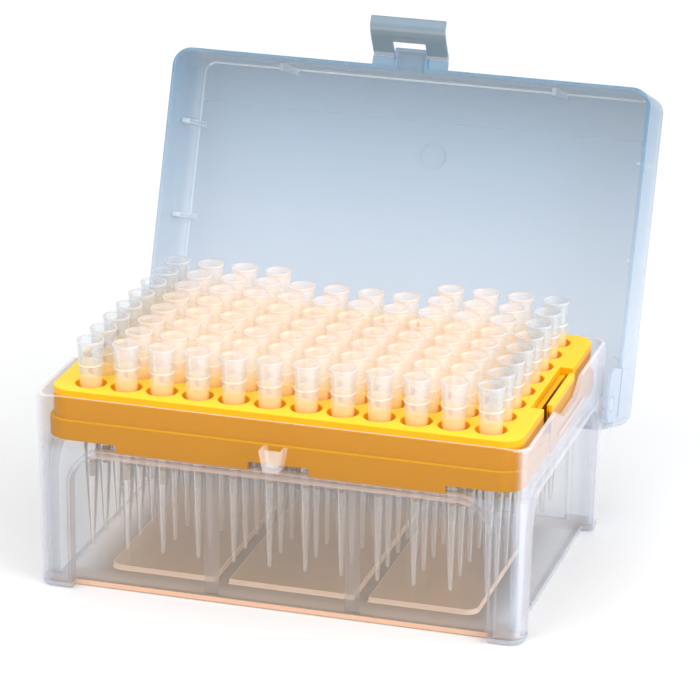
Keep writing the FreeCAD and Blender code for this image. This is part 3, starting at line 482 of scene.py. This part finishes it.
@dataclass(frozen=True)
class TipFinish:
    """Natural polypropylene of the tips, with painted orange light and glow from the rack it stands
    in.
    """

    name: str = "tip_plastic"
    # Painted light from the rack: warm where it reaches the tips, cool where it reaches them less,
    # glowing next to the plate; the rims follow the same painted light.
    warm: Colour = (1.0, 0.93, 0.90)
    cool: Colour = (0.56, 0.64, 0.73)
    glow: Colour = (1.0, 0.73, 0.27)
    below: Colour = (0.90, 0.87, 0.86)
    rim: Colour = (0.93, 0.75, 0.63)
    cool_rim: Colour = (0.62, 0.68, 0.75)
    ring: Colour = (1.0, 0.95, 0.90)
    # Painted glow: shine and lit_glow are emitted, standing in for light scattered between the tips
    # and from the rack.
    shine: Colour = (0.43, 0.38, 0.345)
    lit_glow: Colour = (0.95, 0.54, 0.16)
    solid: float = 0.20
    ring_solid: float = 0.2
    near_solid: float = 0.1
    under_solid: float = 0.08
    gloss: float = 0.3
    under_gloss: float = 0.8
    cool_share: float = 0.85
    glow_share: float = 0.8
    ring_share: float = 0.8
    # Strength of the painted glow, and how much it dims on the outer tips and rims.
    light: float = 0.4
    dark_edge: float = 0.9
    dark_rim: float = 0.6
    near_plate: Span = (0.4, 3.2)
    under_plate: Span = (-14.0, -8.0)

    def material(self) -> bpy.types.Material:
        """Build the material."""
        paint = Paint(self.name)
        z = paint.axis("Z")
        cloud = paint.noise(size_mm=5.0, detail=0.0)
        edge, ring, rim = (paint.mark(name) for name in ("outer", "ring", "rim"))
        # Painted light from the rack: warm on the inner tips, cool on the outer ones, glowing near the
        # plate.
        tone = paint.blend(edge * self.cool_share, self.warm, self.cool)
        near = 1.0 - z.ramp(*(RACK_TOP + rise for rise in self.near_plate))
        tone = paint.blend(near * self.glow_share, tone, self.glow)
        under = 1.0 - z.ramp(*(RACK_TOP + rise for rise in self.under_plate))
        tone = paint.blend(under, tone, self.below)
        tone = paint.blend(ring * self.ring_share, tone, self.ring)
        tone = paint.blend(rim, tone, paint.blend(edge, self.rim, self.cool_rim))
        # Painted glow, emitted: dimmer on the outer tips and rims, brighter near the plate, none below
        # it.
        dark = (edge * self.dark_edge).max(rim * self.dark_rim).max(under)
        lit = paint.blend(near, paint.blend(dark, self.shine, BLACK), self.lit_glow)
        lit = paint.blend(under, lit, BLACK)
        paint.set(Base_Color=tone, Roughness=cloud.about(0.3, 2 * UNEVEN), IOR=PLASTIC_IOR,
                  Emission_Color=lit, Emission_Strength=self.light)
        paint.bump(cloud, depth_mm=0.05)
        paint.clear(self.solid + self.ring_solid * ring.max(rim)
                    + self.near_solid * near * (1.0 - under)
                    - (self.solid - self.under_solid) * under,
                    self.gloss + (self.under_gloss - self.gloss) * under)
        return paint.material


@dataclass(frozen=True)
class YellowPlastic:
    """Coloured satin polypropylene, with painted light: brighter where it faces up."""

    name: str = "rack_yellow"
    # Painted light and shade: top is the lit tone of upward faces, lip the lit top of the sides, side
    # and foot the shaded sides above and below the ledge.
    top: Colour = (1.0, 0.66, 0.012)
    lip: Colour = (1.0, 0.41, 0.003)
    side: Colour = (0.54, 0.222, 0.003)
    foot: Colour = (0.51, 0.21, 0.002)
    ledge_line: Span = (-0.2, 0.0)
    lip_line: Span = (-2.2, -1.4)
    ledge_light: Span = (0.5, 2.0)
    upward: Span = (0.2, 0.9)
    low_share: float = 0.35
    cloud_share: float = 0.2
    specular: float = 0.25

    def material(self) -> bpy.types.Material:
        """Build the material."""
        paint = Paint(self.name)
        z = paint.axis("Z")
        cloud = paint.noise(size_mm=9.0, detail=2.0)
        fine = paint.noise(size_mm=0.5, detail=2.0)
        # Painted shade on the sides, darker below the ledge; painted light at the lip and on upward
        # faces, less of it low down.
        above_ledge = z.ramp(*(RACK_LEDGE + rise for rise in self.ledge_line))
        tone = paint.blend(above_ledge, self.foot, self.side)
        at_lip = z.ramp(*(RACK_TOP + rise for rise in self.lip_line))
        tone = paint.blend(at_lip, tone, self.lip)
        high = z.ramp(*(RACK_LEDGE + rise for rise in self.ledge_light))
        level = self.low_share + (1.0 - self.low_share) * high
        tone = paint.blend(paint.facing_up().ramp(*self.upward) * level, tone, self.top)
        paint.set(Base_Color=paint.blend((cloud - 0.4) * self.cloud_share, tone, self.side),
                  Roughness=cloud.about(SATIN, 0.1), IOR=PLASTIC_IOR, Specular_IOR_Level=self.specular)
        paint.bump(fine, depth_mm=0.008)
        return paint.material


@dataclass(frozen=True)
class Fibre:
    """Porous filter material, darkened with painted shade, with a painted reflection on its top."""

    name: str = "filter_fibre"
    # The fibre is white: dark and pale are its grain, darkened as painted shade.
    dark: Colour = (0.42, 0.39, 0.33)
    pale: Colour = (0.60, 0.57, 0.50)
    # Painted orange reflection on the filter's top, from the tip above.
    lit: Colour = (0.95, 0.60, 0.38)
    lit_top: Span = (29.8, 30.3)
    lit_share: float = 0.8

    def material(self) -> bpy.types.Material:
        """Build the material."""
        paint = Paint(self.name)
        grain = paint.noise(size_mm=0.25, detail=3.0)
        tone = paint.blend(grain, self.dark, self.pale)
        # Painted orange reflection on the top.
        tone = paint.blend(paint.axis("Z").ramp(*self.lit_top) * self.lit_share, tone, self.lit)
        paint.set(Base_Color=tone, Roughness=0.85 + 0.1 * grain)
        paint.bump(grain, depth_mm=0.03)
        return paint.material


# ------------------------------------------------------------------------------------- modelling

class Body(Enum):
    """Bodies of the frame that pieces ride on."""

    BASE = "base"
    LID = "lid"
    LATCH = "latch"


def only(thing: bpy.types.Object) -> None:
    """Make one object the only selected and active one."""
    bpy.ops.object.select_all(action="DESELECT")
    thing.select_set(True)
    bpy.context.view_layer.objects.active = thing


@contextmanager
def editing(thing: bpy.types.Object) -> Iterator[None]:
    """Edit mode on one object, with its whole mesh selected."""
    only(thing)
    bpy.ops.object.mode_set(mode="EDIT")
    bpy.ops.mesh.select_all(action="SELECT")
    try:
        yield
    finally:
        bpy.ops.object.mode_set(mode="OBJECT")


def smooth(thing: bpy.types.Object, degrees: float = 34.0) -> None:
    """Shade smooth, with edges kept sharp past an angle and large faces kept flat."""
    only(thing)
    bpy.ops.object.shade_smooth_by_angle(angle=math.radians(degrees))
    even = thing.modifiers.new("even", "WEIGHTED_NORMAL")
    even.keep_sharp = True
    bpy.ops.object.modifier_apply(modifier=even.name)


def cad_copy(node: str, name: str) -> bpy.types.Object:
    """Copy a node's mesh, merge its loose triangles and join its flat faces.

    Args:
        node: Name of the frame's node.
        name: Name of the new object.

    Returns:
        The copy, with its place in its mesh.
    """
    thing = bpy.data.objects.new(name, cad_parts[node].data.copy())
    bpy.context.scene.collection.objects.link(thing)
    thing.data.materials.clear()
    with editing(thing):
        bpy.ops.mesh.customdata_custom_splitnormals_clear()
        bpy.ops.mesh.remove_doubles(threshold=0.001 * MM)
        bpy.ops.mesh.dissolve_limited(angle_limit=math.radians(1.0))
    return thing


def round_edges(thing: bpy.types.Object, width: float,
                wanted: Callable[[Vector], bool]) -> None:
    """Round the sharp edges of a piece and mark the rounding in the attribute "edge".

    Args:
        thing: The piece.
        width: Width of the rounding, in millimetres.
        wanted: Says from an edge's middle, in millimetres, if that edge is rounded.
    """
    with editing(thing):
        bpy.ops.mesh.select_mode(type="EDGE")
        bpy.ops.mesh.select_all(action="DESELECT")
        bpy.ops.mesh.edges_select_sharp(sharpness=math.radians(35.0))
        mesh = bmesh.from_edit_mesh(thing.data)
        for edge in mesh.edges:
            if edge.select:
                middle = (edge.verts[0].co + edge.verts[1].co) / 2 / MM
                edge.select_set(wanted(middle))
        mesh.select_flush_mode()
        bmesh.update_edit_mesh(thing.data)
        bpy.ops.mesh.bevel(offset=width * MM, segments=2, clamp_overlap=False,
                           affect="EDGES", material=1, loop_slide=False)
    marks = thing.data.attributes.new("edge", "FLOAT", "FACE")
    for face, mark in zip(thing.data.polygons, marks.data):
        if face.material_index == 1:
            mark.value = 1.0
            face.material_index = 0


@dataclass(frozen=True)
class Facet:
    """Box round one face of a piece, in millimetres, and the face's normal."""

    low: Vector
    high: Vector
    normal: Vector

    @property
    def middle(self) -> Vector:
        """Middle of the box."""
        return (self.low + self.high) / 2

    def span(self, axis: int) -> Span:
        """Smallest and largest distance of the box's sides from the origin along an axis."""
        near, far = sorted((abs(self.low[axis]), abs(self.high[axis])))
        return near, far

    def is_level(self) -> bool:
        """True where the face points up or down."""
        return abs(self.normal.z) > LEVEL


@dataclass(frozen=True)
class Zone:
    """Region of a piece, in millimetres: distances from the middle planes, Y and Z."""

    wide: Span = (-math.inf, math.inf)
    deep: Span = (-math.inf, math.inf)
    y: Span = (-math.inf, math.inf)
    z: Span = (-math.inf, math.inf)

    def holds(self, spot: Vector) -> bool:
        """True inside the region."""
        pairs = ((self.wide, abs(spot.x)), (self.deep, abs(spot.y)), (self.y, spot.y),
                 (self.z, spot.z))
        return all(low < value < high for (low, high), value in pairs)


def up_to(value: float) -> Span:
    """Everything below a value."""
    return -math.inf, value


def beyond(value: float) -> Span:
    """Everything above a value."""
    return value, math.inf


def mark_faces(thing: bpy.types.Object, name: str, share: Callable[[Facet], float]) -> None:
    """Give the faces of a piece a number for its shader.

    Args:
        thing: The piece.
        name: Name of the number.
        share: Works it out from a face's place.
    """
    marks = thing.data.attributes.new(name, "FLOAT", "FACE")
    places = [vertex.co / MM for vertex in thing.data.vertices]
    for face, mark in zip(thing.data.polygons, marks.data):
        rows = list(zip(*(places[i] for i in face.vertices)))
        low, high = (Vector([pick(row) for row in rows]) for pick in (min, max))
        mark.value = float(share(Facet(low, high, face.normal)))


def way(value: float, low: float, high: float) -> float:
    """Share of the way from low to high, limited to 0..1."""
    return min(max((value - low) / (high - low), 0.0), 1.0)


@dataclass
class BaseBox:
    """Lower box: clear walls, arches, feet, floor pads, catch and studs.

    Sizes are in millimetres; the pairs of panel and arch_half are distances from the middle planes
    of the panels' outer faces and of the arches' sides, along X and along Y.
    """

    finish: BaseFinish = field(default_factory=BaseFinish)
    rounding: float = 0.22
    rim: float = 49.5
    rim_line: float = 0.35
    shelf: float = 35.8
    panel: Span = (57.2, 37.4)
    arch_half: Span = (51.8, 33.8)
    arch_flare: float = 1.8
    slack: float = 0.2
    fine_details: tuple[Zone, ...] = (
        Zone(wide=beyond(61.35)),
        Zone(wide=beyond(60.2), deep=up_to(13.2), z=(42.5, 45.0)),
        Zone(wide=up_to(6.0), y=up_to(-40.2), z=beyond(44.5)),
        Zone(wide=up_to(4.0), y=(-41.6, -40.9), z=up_to(44.5)),
        Zone(wide=beyond(58.0), deep=up_to(14.2), z=beyond(45.0)))
    ribs: Zone = Zone(wide=(15.7, 19.5), deep=(35.0, 36.0))
    arch_shelf: Zone = Zone(wide=up_to(47.0), deep=beyond(36.5), z=(33.6, 36.0))
    pad_tops: Zone = Zone(z=(2.2, 2.6))
    pad_sides: Zone = Zone(wide=up_to(46.5), deep=up_to(28.8), z=(1.2, 2.4))
    slab: Zone = Zone(wide=up_to(57.5), z=up_to(1.3))
    catch_nose: Zone = Zone(wide=up_to(3.3), y=up_to(-41.6))

    def build(self) -> bpy.types.Object:
        """Make the piece and dress it."""
        thing = cad_copy("base_box", "base_box_clear")
        round_edges(thing, self.rounding, self.is_plain)
        self.mark_zones(thing)
        smooth(thing)
        thing.data.materials.append(self.finish.material())
        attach(thing, Body.BASE.value)
        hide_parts("base_box")
        return thing

    def is_plain(self, spot: Vector) -> bool:
        """True away from the studs, the finger notches and their ridges, and the catch's root."""
        return not any(detail.holds(spot) for detail in self.fine_details)

    def mark_zones(self, thing: bpy.types.Object) -> None:
        """Mark the parts of the piece that the finish tells apart."""
        for name, zone in (("jamb", self.jamb), ("arch", self.arch), ("pad", self.pad),
                           ("riser", self.riser), ("floor", self.floor),
                           ("front", self.front), ("catch", self.catch)):
            mark_faces(thing, name, zone)
        data = thing.data
        edges = data.attributes["edge"].data
        others = [data.attributes[name].data for name in ("jamb", "arch", "floor", "front")]
        # Edge marks carry a painted highlight: they are taken off the jambs, arches, floor and front,
        # and put on the rim's top.
        for i, face in enumerate(data.polygons):
            if any(marks[i].value > 0.5 for marks in others):
                edges[i].value = 0.0
            elif face.center.z / MM > self.rim - self.rim_line:
                edges[i].value = 1.0

    def jamb(self, face: Facet) -> bool:
        """Sides of the arches, and the upright ribs inside the panels."""
        (wide, widest), (deep, deepest) = face.span(0), face.span(1)
        front = (deep > self.panel[1] - self.slack and abs(face.normal.y) < ASIDE
                 and widest < self.arch_half[0] + self.arch_flare)
        side = (wide > self.panel[0] - self.slack and abs(face.normal.x) < ASIDE
                and deepest < self.arch_half[1] + self.arch_flare and face.middle.y < 0.0)
        return ((front or side or self.ribs.holds(face.middle))
                and face.high.z < self.shelf + 0.5 and not face.is_level())

    def arch(self, face: Facet) -> bool:
        """Shelf over the front and back arch."""
        return face.is_level() and self.arch_shelf.holds(face.middle)

    def pad(self, face: Facet) -> bool:
        """Tops of the floor pads."""
        return face.normal.z > LEVEL and self.pad_tops.holds(face.middle)

    def riser(self, face: Facet) -> bool:
        """Sides of the floor pads."""
        return abs(face.normal.z) < 0.98 and self.pad_sides.holds(face.middle)

    def floor(self, face: Facet) -> bool:
        """Floor slab and the pads on it."""
        slab = face.is_level() and self.slab.holds(face.middle)
        return slab or self.pad(face) or self.riser(face)

    def front(self, face: Facet) -> bool:
        """Outer face of the front panel."""
        return (face.normal.y < -0.3 and face.low.y > -self.panel[1] - self.slack
                and face.high.y < -self.panel[1] + 0.4 and face.span(0)[1] < self.arch_half[0] + 0.6)

    def catch(self, face: Facet) -> bool:
        """The catch."""
        return self.catch_nose.holds(face.middle)


@dataclass
class TipRack:
    """Yellow insert that holds the tips."""

    finish: YellowPlastic = field(default_factory=YellowPlastic)
    rounding: float = 0.3
    skirt: Span = (56.9, 37.2)

    def build(self) -> bpy.types.Object:
        """Make the piece and dress it."""
        thing = cad_copy("tip_rack", "tip_rack_yellow")
        round_edges(thing, self.rounding, self.is_outside)
        smooth(thing)
        thing.data.materials.append(self.finish.material())
        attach(thing, Body.BASE.value)
        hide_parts("tip_rack")
        return thing

    def is_outside(self, spot: Vector) -> bool:
        """True on the edges that show: the plate, its holes and the outside of the skirt."""
        skirt = abs(spot.x) > self.skirt[0] or abs(spot.y) > self.skirt[1]
        return spot.z > RACK_TOP - 0.05 or skirt


@dataclass
class Lid:
    """Clear cover, folded back.

    Sizes are in millimetres. The lid's own directions start at hinge_side, the Y and Z of its hinge
    side: along runs from there to the free edge, with slope as its Y and Z, and lift runs from the
    rim plane to the panel. A face is part of a rounding where the lift part of its normal is within
    rounded. The shares say how bright the painted highlight on the roundings and ribs is.
    """

    finish: LidFinish = field(default_factory=LidFinish)
    rounding: float = 0.2
    hinge_side: Span = (40.869, 24.619)
    slope: Span = (0.33759, 0.9413)
    panel_lift: float = 21.0
    far_rounding: float = 84.0
    rounded: Span = (0.25, 0.96)
    marks_half: float = 20.0
    front_rib: float = 36.5
    front_rib_along: Span = (81.0, 85.7)
    side_rib_wide: Span = (59.9, 61.9)
    side_rib_along: float = 43.4
    side_rib_pitch: float = 24.7
    rib_half: float = 0.75
    ring_middle: Span = (3.0, 65.6)
    ring_radius: Span = (3.0, 3.7)
    # Strength of the painted highlight on the far and near roundings and on the ribs.
    far_share: float = 0.9
    near_share: float = 0.25
    rib_share: float = 0.6

    def build(self) -> bpy.types.Object:
        """Make the piece and dress it."""
        thing = cad_copy("lid", "lid_clear")
        round_edges(thing, self.rounding, self.is_plain)
        mark_faces(thing, "ring", self.ring)
        self.brighten(thing)
        smooth(thing)
        thing.data.materials.append(self.finish.material())
        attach(thing, Body.LID.value)
        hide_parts("lid")
        return thing

    def local(self, spot: Vector) -> Span:
        """Distance from the hinge side and from the rim plane of a place, in millimetres."""
        y, z = spot.y - self.hinge_side[0], spot.z - self.hinge_side[1]
        return self.slope[0] * y + self.slope[1] * z, self.slope[1] * y - self.slope[0] * z

    def is_plain(self, spot: Vector) -> bool:
        """True away from the fine marks on the panel."""
        along, lift = self.local(spot)
        return not (abs(spot.x) < self.marks_half and lift > self.panel_lift
                    and along < self.far_rounding)

    def brighten(self, thing: bpy.types.Object) -> None:
        """Mark the roundings round the panel and the stop ribs, which catch the light, for a painted
        highlight.
        """
        marks = thing.data.attributes["edge"].data
        for face, mark in zip(thing.data.polygons, marks):
            middle = face.center / MM
            along, lift = self.local(middle)
            tilt = self.slope[1] * face.normal.y - self.slope[0] * face.normal.z
            if self.rounded[0] < abs(tilt) < self.rounded[1] and lift > self.panel_lift:
                mark.value = self.far_share if along > self.far_rounding else self.near_share
            elif self.is_rib(abs(middle.x), along):
                mark.value = self.rib_share

    def is_rib(self, side: float, along: float) -> bool:
        """True on the stop ribs.

        Args:
            side: Distance from the lid's middle plane, in millimetres.
            along: Distance from the hinge side, in millimetres.

        Returns:
            Whether a face there is part of a rib.
        """
        low, high = self.front_rib_along
        front = abs(side - self.front_rib) < self.rib_half and low < along < high
        low, high = self.side_rib_wide
        off = abs(along - self.side_rib_along)
        row = min(abs(off - self.side_rib_pitch), off) < self.rib_half
        return front or (low < side < high and row)

    def ring(self, face: Facet) -> bool:
        """Round moulding mark inside the panel."""
        along, lift = self.local(face.middle)
        reach = math.hypot(face.middle.x - self.ring_middle[0], along - self.ring_middle[1])
        return lift > self.panel_lift and self.ring_radius[0] < reach < self.ring_radius[1]


@dataclass
class Latch:
    """Flap on the lid's flange, with soft bends and a window for the hood.

    Lengths are in millimetres, the bends in degrees.
    """

    finish: LatchFinish = field(default_factory=LatchFinish)
    width: float = 19.9
    window: float = 8.6
    window_end: float = 4.5
    thickness: float = 1.0
    nose: float = 0.72
    straight: float = 5.9
    middle: float = 3.1
    lip: float = 2.6
    bends: Span = (8.0, 52.0)
    bend_reach: float = 0.9
    bend_steps: int = 6
    rounding: float = 0.3

    def build(self) -> bpy.types.Object:
        """Make the piece and dress it."""
        thing = self.sheet()
        self.thicken(thing)
        smooth(thing)
        thing.data.materials.append(self.finish.material())
        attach(thing, Body.LATCH.value)
        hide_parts("latch")
        return thing

    def step(self, length: float, turned: float) -> tuple[float, float, float]:
        """Vector of one straight stretch of the flap, in metres.

        Args:
            length: Length of the stretch, in millimetres.
            turned: How far it has turned outward, in degrees.

        Returns:
            The way from its start to its end.
        """
        lean = math.radians(turned - LATCH_LEAN)
        return 0.0, length * math.sin(lean) * MM, length * math.cos(lean) * MM

    def stretches(self) -> Iterator[Span]:
        """Length and turn of each stretch from the window's end to the free edge."""
        reach, pieces = self.bend_reach, self.bend_steps
        yield self.straight - self.window_end - reach, 0.0
        turned = 0.0
        for bend, after in zip(self.bends, (self.middle - 2 * reach, self.lip - reach)):
            for k in range(pieces):
                yield 2 * reach / pieces, turned + bend * (k + 0.5) / pieces
            turned += bend
            yield after, turned

    def sheet(self) -> bpy.types.Object:
        """Middle surface of the flap, extruded stretch by stretch."""
        bpy.ops.object.select_all(action="DESELECT")
        bpy.ops.mesh.primitive_plane_add(size=1.0, location=(0, 0, 0))
        thing = bpy.context.object
        thing.name = "latch_clear"
        start_y, start_z = (at * MM + reach for at, reach in
                            zip(LATCH_FOLD, self.step(self.window_end, 0.0)[1:]))
        half, hole = self.width / 2, self.window / 2
        with editing(thing):
            bpy.ops.mesh.delete(type="VERT")
            mesh = bmesh.from_edit_mesh(thing.data)
            row = [mesh.verts.new((x * MM, start_y, start_z)) for x in (-half, -hole, hole, half)]
            for pair in zip(row, row[1:]):
                mesh.edges.new(pair).select_set(True)
            bmesh.update_edit_mesh(thing.data)
            for length, turned in self.stretches():
                bpy.ops.mesh.extrude_region_move(
                    TRANSFORM_OT_translate={"value": self.step(length, turned)})
            bpy.ops.mesh.select_all(action="DESELECT")
            mesh = bmesh.from_edit_mesh(thing.data)
            for edge in mesh.edges:
                middle = (edge.verts[0].co + edge.verts[1].co) / 2
                low = abs(middle.z - start_z) < 0.01 * MM
                edge.select_set(low and abs(middle.x) > hole * MM)
            bmesh.update_edit_mesh(thing.data)
            bpy.ops.mesh.extrude_region_move(TRANSFORM_OT_translate={
                "value": self.step(-self.window_end - self.nose, 0.0)})
            bpy.ops.mesh.select_all(action="SELECT")
            bpy.ops.mesh.normals_make_consistent(inside=False)
        return thing

    def thicken(self, thing: bpy.types.Object) -> None:
        """Give the sheet its thickness and round its edges."""
        wall = thing.modifiers.new("wall", "SOLIDIFY")
        wall.thickness, wall.offset = self.thickness * MM, 0.0
        wall.use_even_offset = True
        edges = thing.modifiers.new("edges", "BEVEL")
        edges.width, edges.segments = self.rounding * MM, 3
        edges.limit_method, edges.angle_limit = "ANGLE", math.radians(40.0)
        only(thing)
        for modifier in (wall, edges):
            bpy.ops.object.modifier_apply(modifier=modifier.name)


@dataclass
class TipColumns:
    """Tips, modelled once and repeated along each column."""

    finish: TipFinish = field(default_factory=TipFinish)
    pitch: float = 9.0
    columns: int = 12
    rows: int = 8
    short: tuple[int, int] = (5, 8)
    mouth: float = 61.4
    sides: int = 32
    ring_drop: Span = (5.75, 6.35)
    rim_drop: float = 0.65
    end_columns: Span = (38.0, 50.0)
    front_rows: Span = (-34.0, -24.0)
    front_share: float = 0.7
    outside: tuple[Span, ...] = (
        (0.45, 52.9), (0.62, 50.0), (1.525, 34.7), (1.70, 31.1), (2.35, 17.2), (2.66, 17.2),
        (2.70, 17.12), (2.70, 16.78), (2.66, 16.7), (2.55, 16.7), (2.95, 6.3), (3.03, 6.3),
        (3.075, 6.25), (3.075, 5.86), (3.03, 5.8), (2.95, 5.8), (3.225, 0.66), (3.30, 0.6),
        (3.35, 0.5), (3.35, 0.12), (3.28, 0.0))
    inside: tuple[Span, ...] = (
        (2.94, 0.0), (2.875, 0.12), (2.17, 16.7), (1.97, 17.7), (1.32, 31.1), (1.145, 34.7),
        (0.2, 52.9))

    def build(self) -> list[bpy.types.Object]:
        """Make every column and dress it."""
        finish = self.finish.material()
        tip = self.tip()
        made = []
        for column in range(1, self.columns + 1):
            short = self.short[0] <= column <= self.short[1]
            made.append(self.column(tip, column, self.rows - 1 if short else self.rows, finish))
        bpy.data.objects.remove(tip)
        return made

    def tip(self) -> bpy.types.Object:
        """One tip at the first place: rings extruded up its outside and down its bore."""
        rings = self.outside + self.inside
        radius, drop = rings[0]
        start = [-(count - 1) / 2 * self.pitch * MM for count in (self.columns, self.rows)]
        bpy.ops.object.select_all(action="DESELECT")
        bpy.ops.mesh.primitive_circle_add(vertices=self.sides, radius=radius * MM,
                                          location=(0, 0, 0))
        tip = bpy.context.object
        tip.name = "tip"
        with editing(tip):
            bpy.ops.transform.translate(value=(*start, (self.mouth - drop) * MM))
            for wide, low in rings[1:]:
                bpy.ops.mesh.extrude_region_move(
                    TRANSFORM_OT_translate={"value": (0, 0, (drop - low) * MM)})
                bpy.ops.transform.resize(value=(wide / radius, wide / radius, 1.0),
                                         center_override=(*start, (self.mouth - low) * MM))
                radius, drop = wide, low
            bpy.ops.mesh.select_all(action="DESELECT")
            bpy.ops.mesh.select_non_manifold()
            bpy.ops.mesh.bridge_edge_loops()
            bpy.ops.mesh.select_all(action="SELECT")
            bpy.ops.mesh.remove_doubles(threshold=0.001 * MM)
            bpy.ops.mesh.normals_make_consistent(inside=False)
        return tip

    def column(self, tip: bpy.types.Object, column: int, count: int,
               finish: bpy.types.Material) -> bpy.types.Object:
        """Repeat the tip along one column.

        Args:
            tip: The tip at the first place.
            column: Number of the column, from the left.
            count: Tips in it.
            finish: Material.

        Returns:
            The column's piece.
        """
        name = f"tips_column_{column:02d}"
        thing = bpy.data.objects.new(name + "_clear", tip.data.copy())
        bpy.context.scene.collection.objects.link(thing)
        with editing(thing):
            bpy.ops.transform.translate(value=((column - 1) * self.pitch * MM, 0, 0))
        array = thing.modifiers.new("rows", "ARRAY")
        array.count = count
        array.use_relative_offset = False
        array.use_constant_offset = True
        array.constant_offset_displace = (0, self.pitch * MM, 0)
        only(thing)
        bpy.ops.object.modifier_apply(modifier=array.name)
        for mark, zone in (("outer", self.outer), ("ring", self.ring), ("rim", self.rim)):
            mark_faces(thing, mark, zone)
        smooth(thing, 50.0)
        thing.data.materials.append(finish)
        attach(thing, Body.BASE.value)
        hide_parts(name)
        return thing

    def outer(self, face: Facet) -> float:
        """Tips near the ends and the front of the rack, which get less of the painted rack light."""
        end = way(abs(face.middle.x), *self.end_columns)
        front = self.front_share - self.front_share * way(face.middle.y, *self.front_rows)
        return max(end, front)

    def ring(self, face: Facet) -> bool:
        """Ring a little below the mouth."""
        return self.ring_drop[0] < self.mouth - face.middle.z < self.ring_drop[1]

    def rim(self, face: Facet) -> bool:
        """Rim of the mouth."""
        return self.mouth - face.middle.z < self.rim_drop


def dress(node: str, finish: bpy.types.Material) -> None:
    """Give a CAD node its finish."""
    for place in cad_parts[node].material_slots:
        place.material = finish


# ---------------------------------------------------------------------------------------- studio

@dataclass(frozen=True)
class Lamp:
    """Square area lamp that looks at the box; lengths in metres, power in watts."""

    name: str
    place: tuple[float, float, float]
    size: float
    power: float
    aim: tuple[float, float, float] = (0.0, 0.0, 0.05)

    def build(self) -> None:
        """Hang the lamp."""
        bpy.ops.object.light_add(type="AREA", location=self.place)
        lamp = bpy.context.object
        lamp.name = self.name
        lamp.data.size = self.size
        lamp.data.energy = self.power
        lamp.rotation_mode = "QUATERNION"
        lamp.rotation_quaternion = (Vector(self.place) - Vector(self.aim)).to_track_quat("Z", "Y")


@dataclass
class Studio:
    """Floor, world, lamps and camera.

    The camera's place and lens are in millimetres and degrees; the floor's size and drop and the
    clipping distances are in metres.
    """

    lamps: tuple[Lamp, ...] = (Lamp("key", (-0.8, -1.1, 1.7), 1.8, 16.0),
                               Lamp("fill", (1.3, -0.4, 0.6), 1.3, 19.0))
    floor_size: float = 6.0
    floor_drop: float = 0.0002
    floor_tone: Colour = (0.86, 0.86, 0.86)
    world_light: float = 0.90
    azimuth: float = 16.412
    elevation: float = 19.908
    roll: float = 0.676
    distance: float = 900.13
    shift: Span = (5.472, -7.472)
    pivot_height: float = 61.4
    lens: float = 190.70
    sensor: float = 36.0
    clip: Span = (0.05, 20.0)

    def build(self) -> None:
        """Make the whole set."""
        self.floor()
        self.world()
        for lamp in self.lamps:
            lamp.build()
        self.camera()

    def floor(self) -> None:
        """A large plain floor that the camera sees as white."""
        bpy.ops.mesh.primitive_plane_add(size=self.floor_size, location=(0, 0, -self.floor_drop))
        plane = bpy.context.object
        plane.name = "floor"
        paint = Paint("floor_white")
        paint.set(Base_Color=self.floor_tone, Roughness=0.6)
        plane.data.materials.append(paint.material)

    def world(self) -> None:
        """Even white surroundings."""
        world = bpy.data.worlds.new("studio")
        bpy.context.scene.world = world
        world.use_nodes = True
        back = world.node_tree.nodes["Background"]
        back.inputs[0].default_value = (1, 1, 1, 1)
        back.inputs[1].default_value = self.world_light

    def camera(self) -> None:
        """Camera at the chosen viewing angle."""
        turn, lift, roll = (math.radians(v) for v in (self.azimuth, self.elevation, self.roll))
        back = Vector((math.sin(turn) * math.cos(lift), -math.cos(turn) * math.cos(lift),
                       math.sin(lift)))
        level = Vector((math.cos(turn), math.sin(turn), 0))
        upward = back.cross(level)
        right = level * math.cos(roll) + upward * math.sin(roll)
        high = back.cross(right)
        place = (back * self.distance + right * self.shift[0] + high * self.shift[1]
                 + Vector((0, 0, self.pivot_height))) * MM
        bpy.ops.object.camera_add(location=place)
        eye = bpy.context.object
        eye.name = "camera"
        basis = Matrix((right, high, back)).transposed()
        eye.rotation_mode = "QUATERNION"
        eye.rotation_quaternion = basis.to_quaternion()
        eye.data.lens = self.lens
        eye.data.sensor_width = self.sensor
        eye.data.clip_start, eye.data.clip_end = self.clip
        bpy.context.scene.camera = eye


def main() -> None:
    """Build every piece and the studio."""
    logging.basicConfig(level=logging.INFO)
    pieces = [piece.build() for piece in (BaseBox(), TipRack(), Lid(), Latch())]
    for thing in pieces + TipColumns().build():
        LOG.info("%s: %d faces", thing.name, len(thing.data.polygons))
    fibre = Fibre().material()
    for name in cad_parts:
        if name.startswith("filters"):
            dress(name, fibre)
            LOG.info("%s: CAD mesh, dressed", name)
    Studio().build()
    scene = bpy.context.scene
    scene.view_settings.view_transform = "Standard"
    scene.cycles.transparent_max_bounces = 20
    scene.cycles.max_bounces = 4
    scene.cycles.diffuse_bounces = 2
    scene.cycles.glossy_bounces = 2


if __name__ == "__main__":
    main()
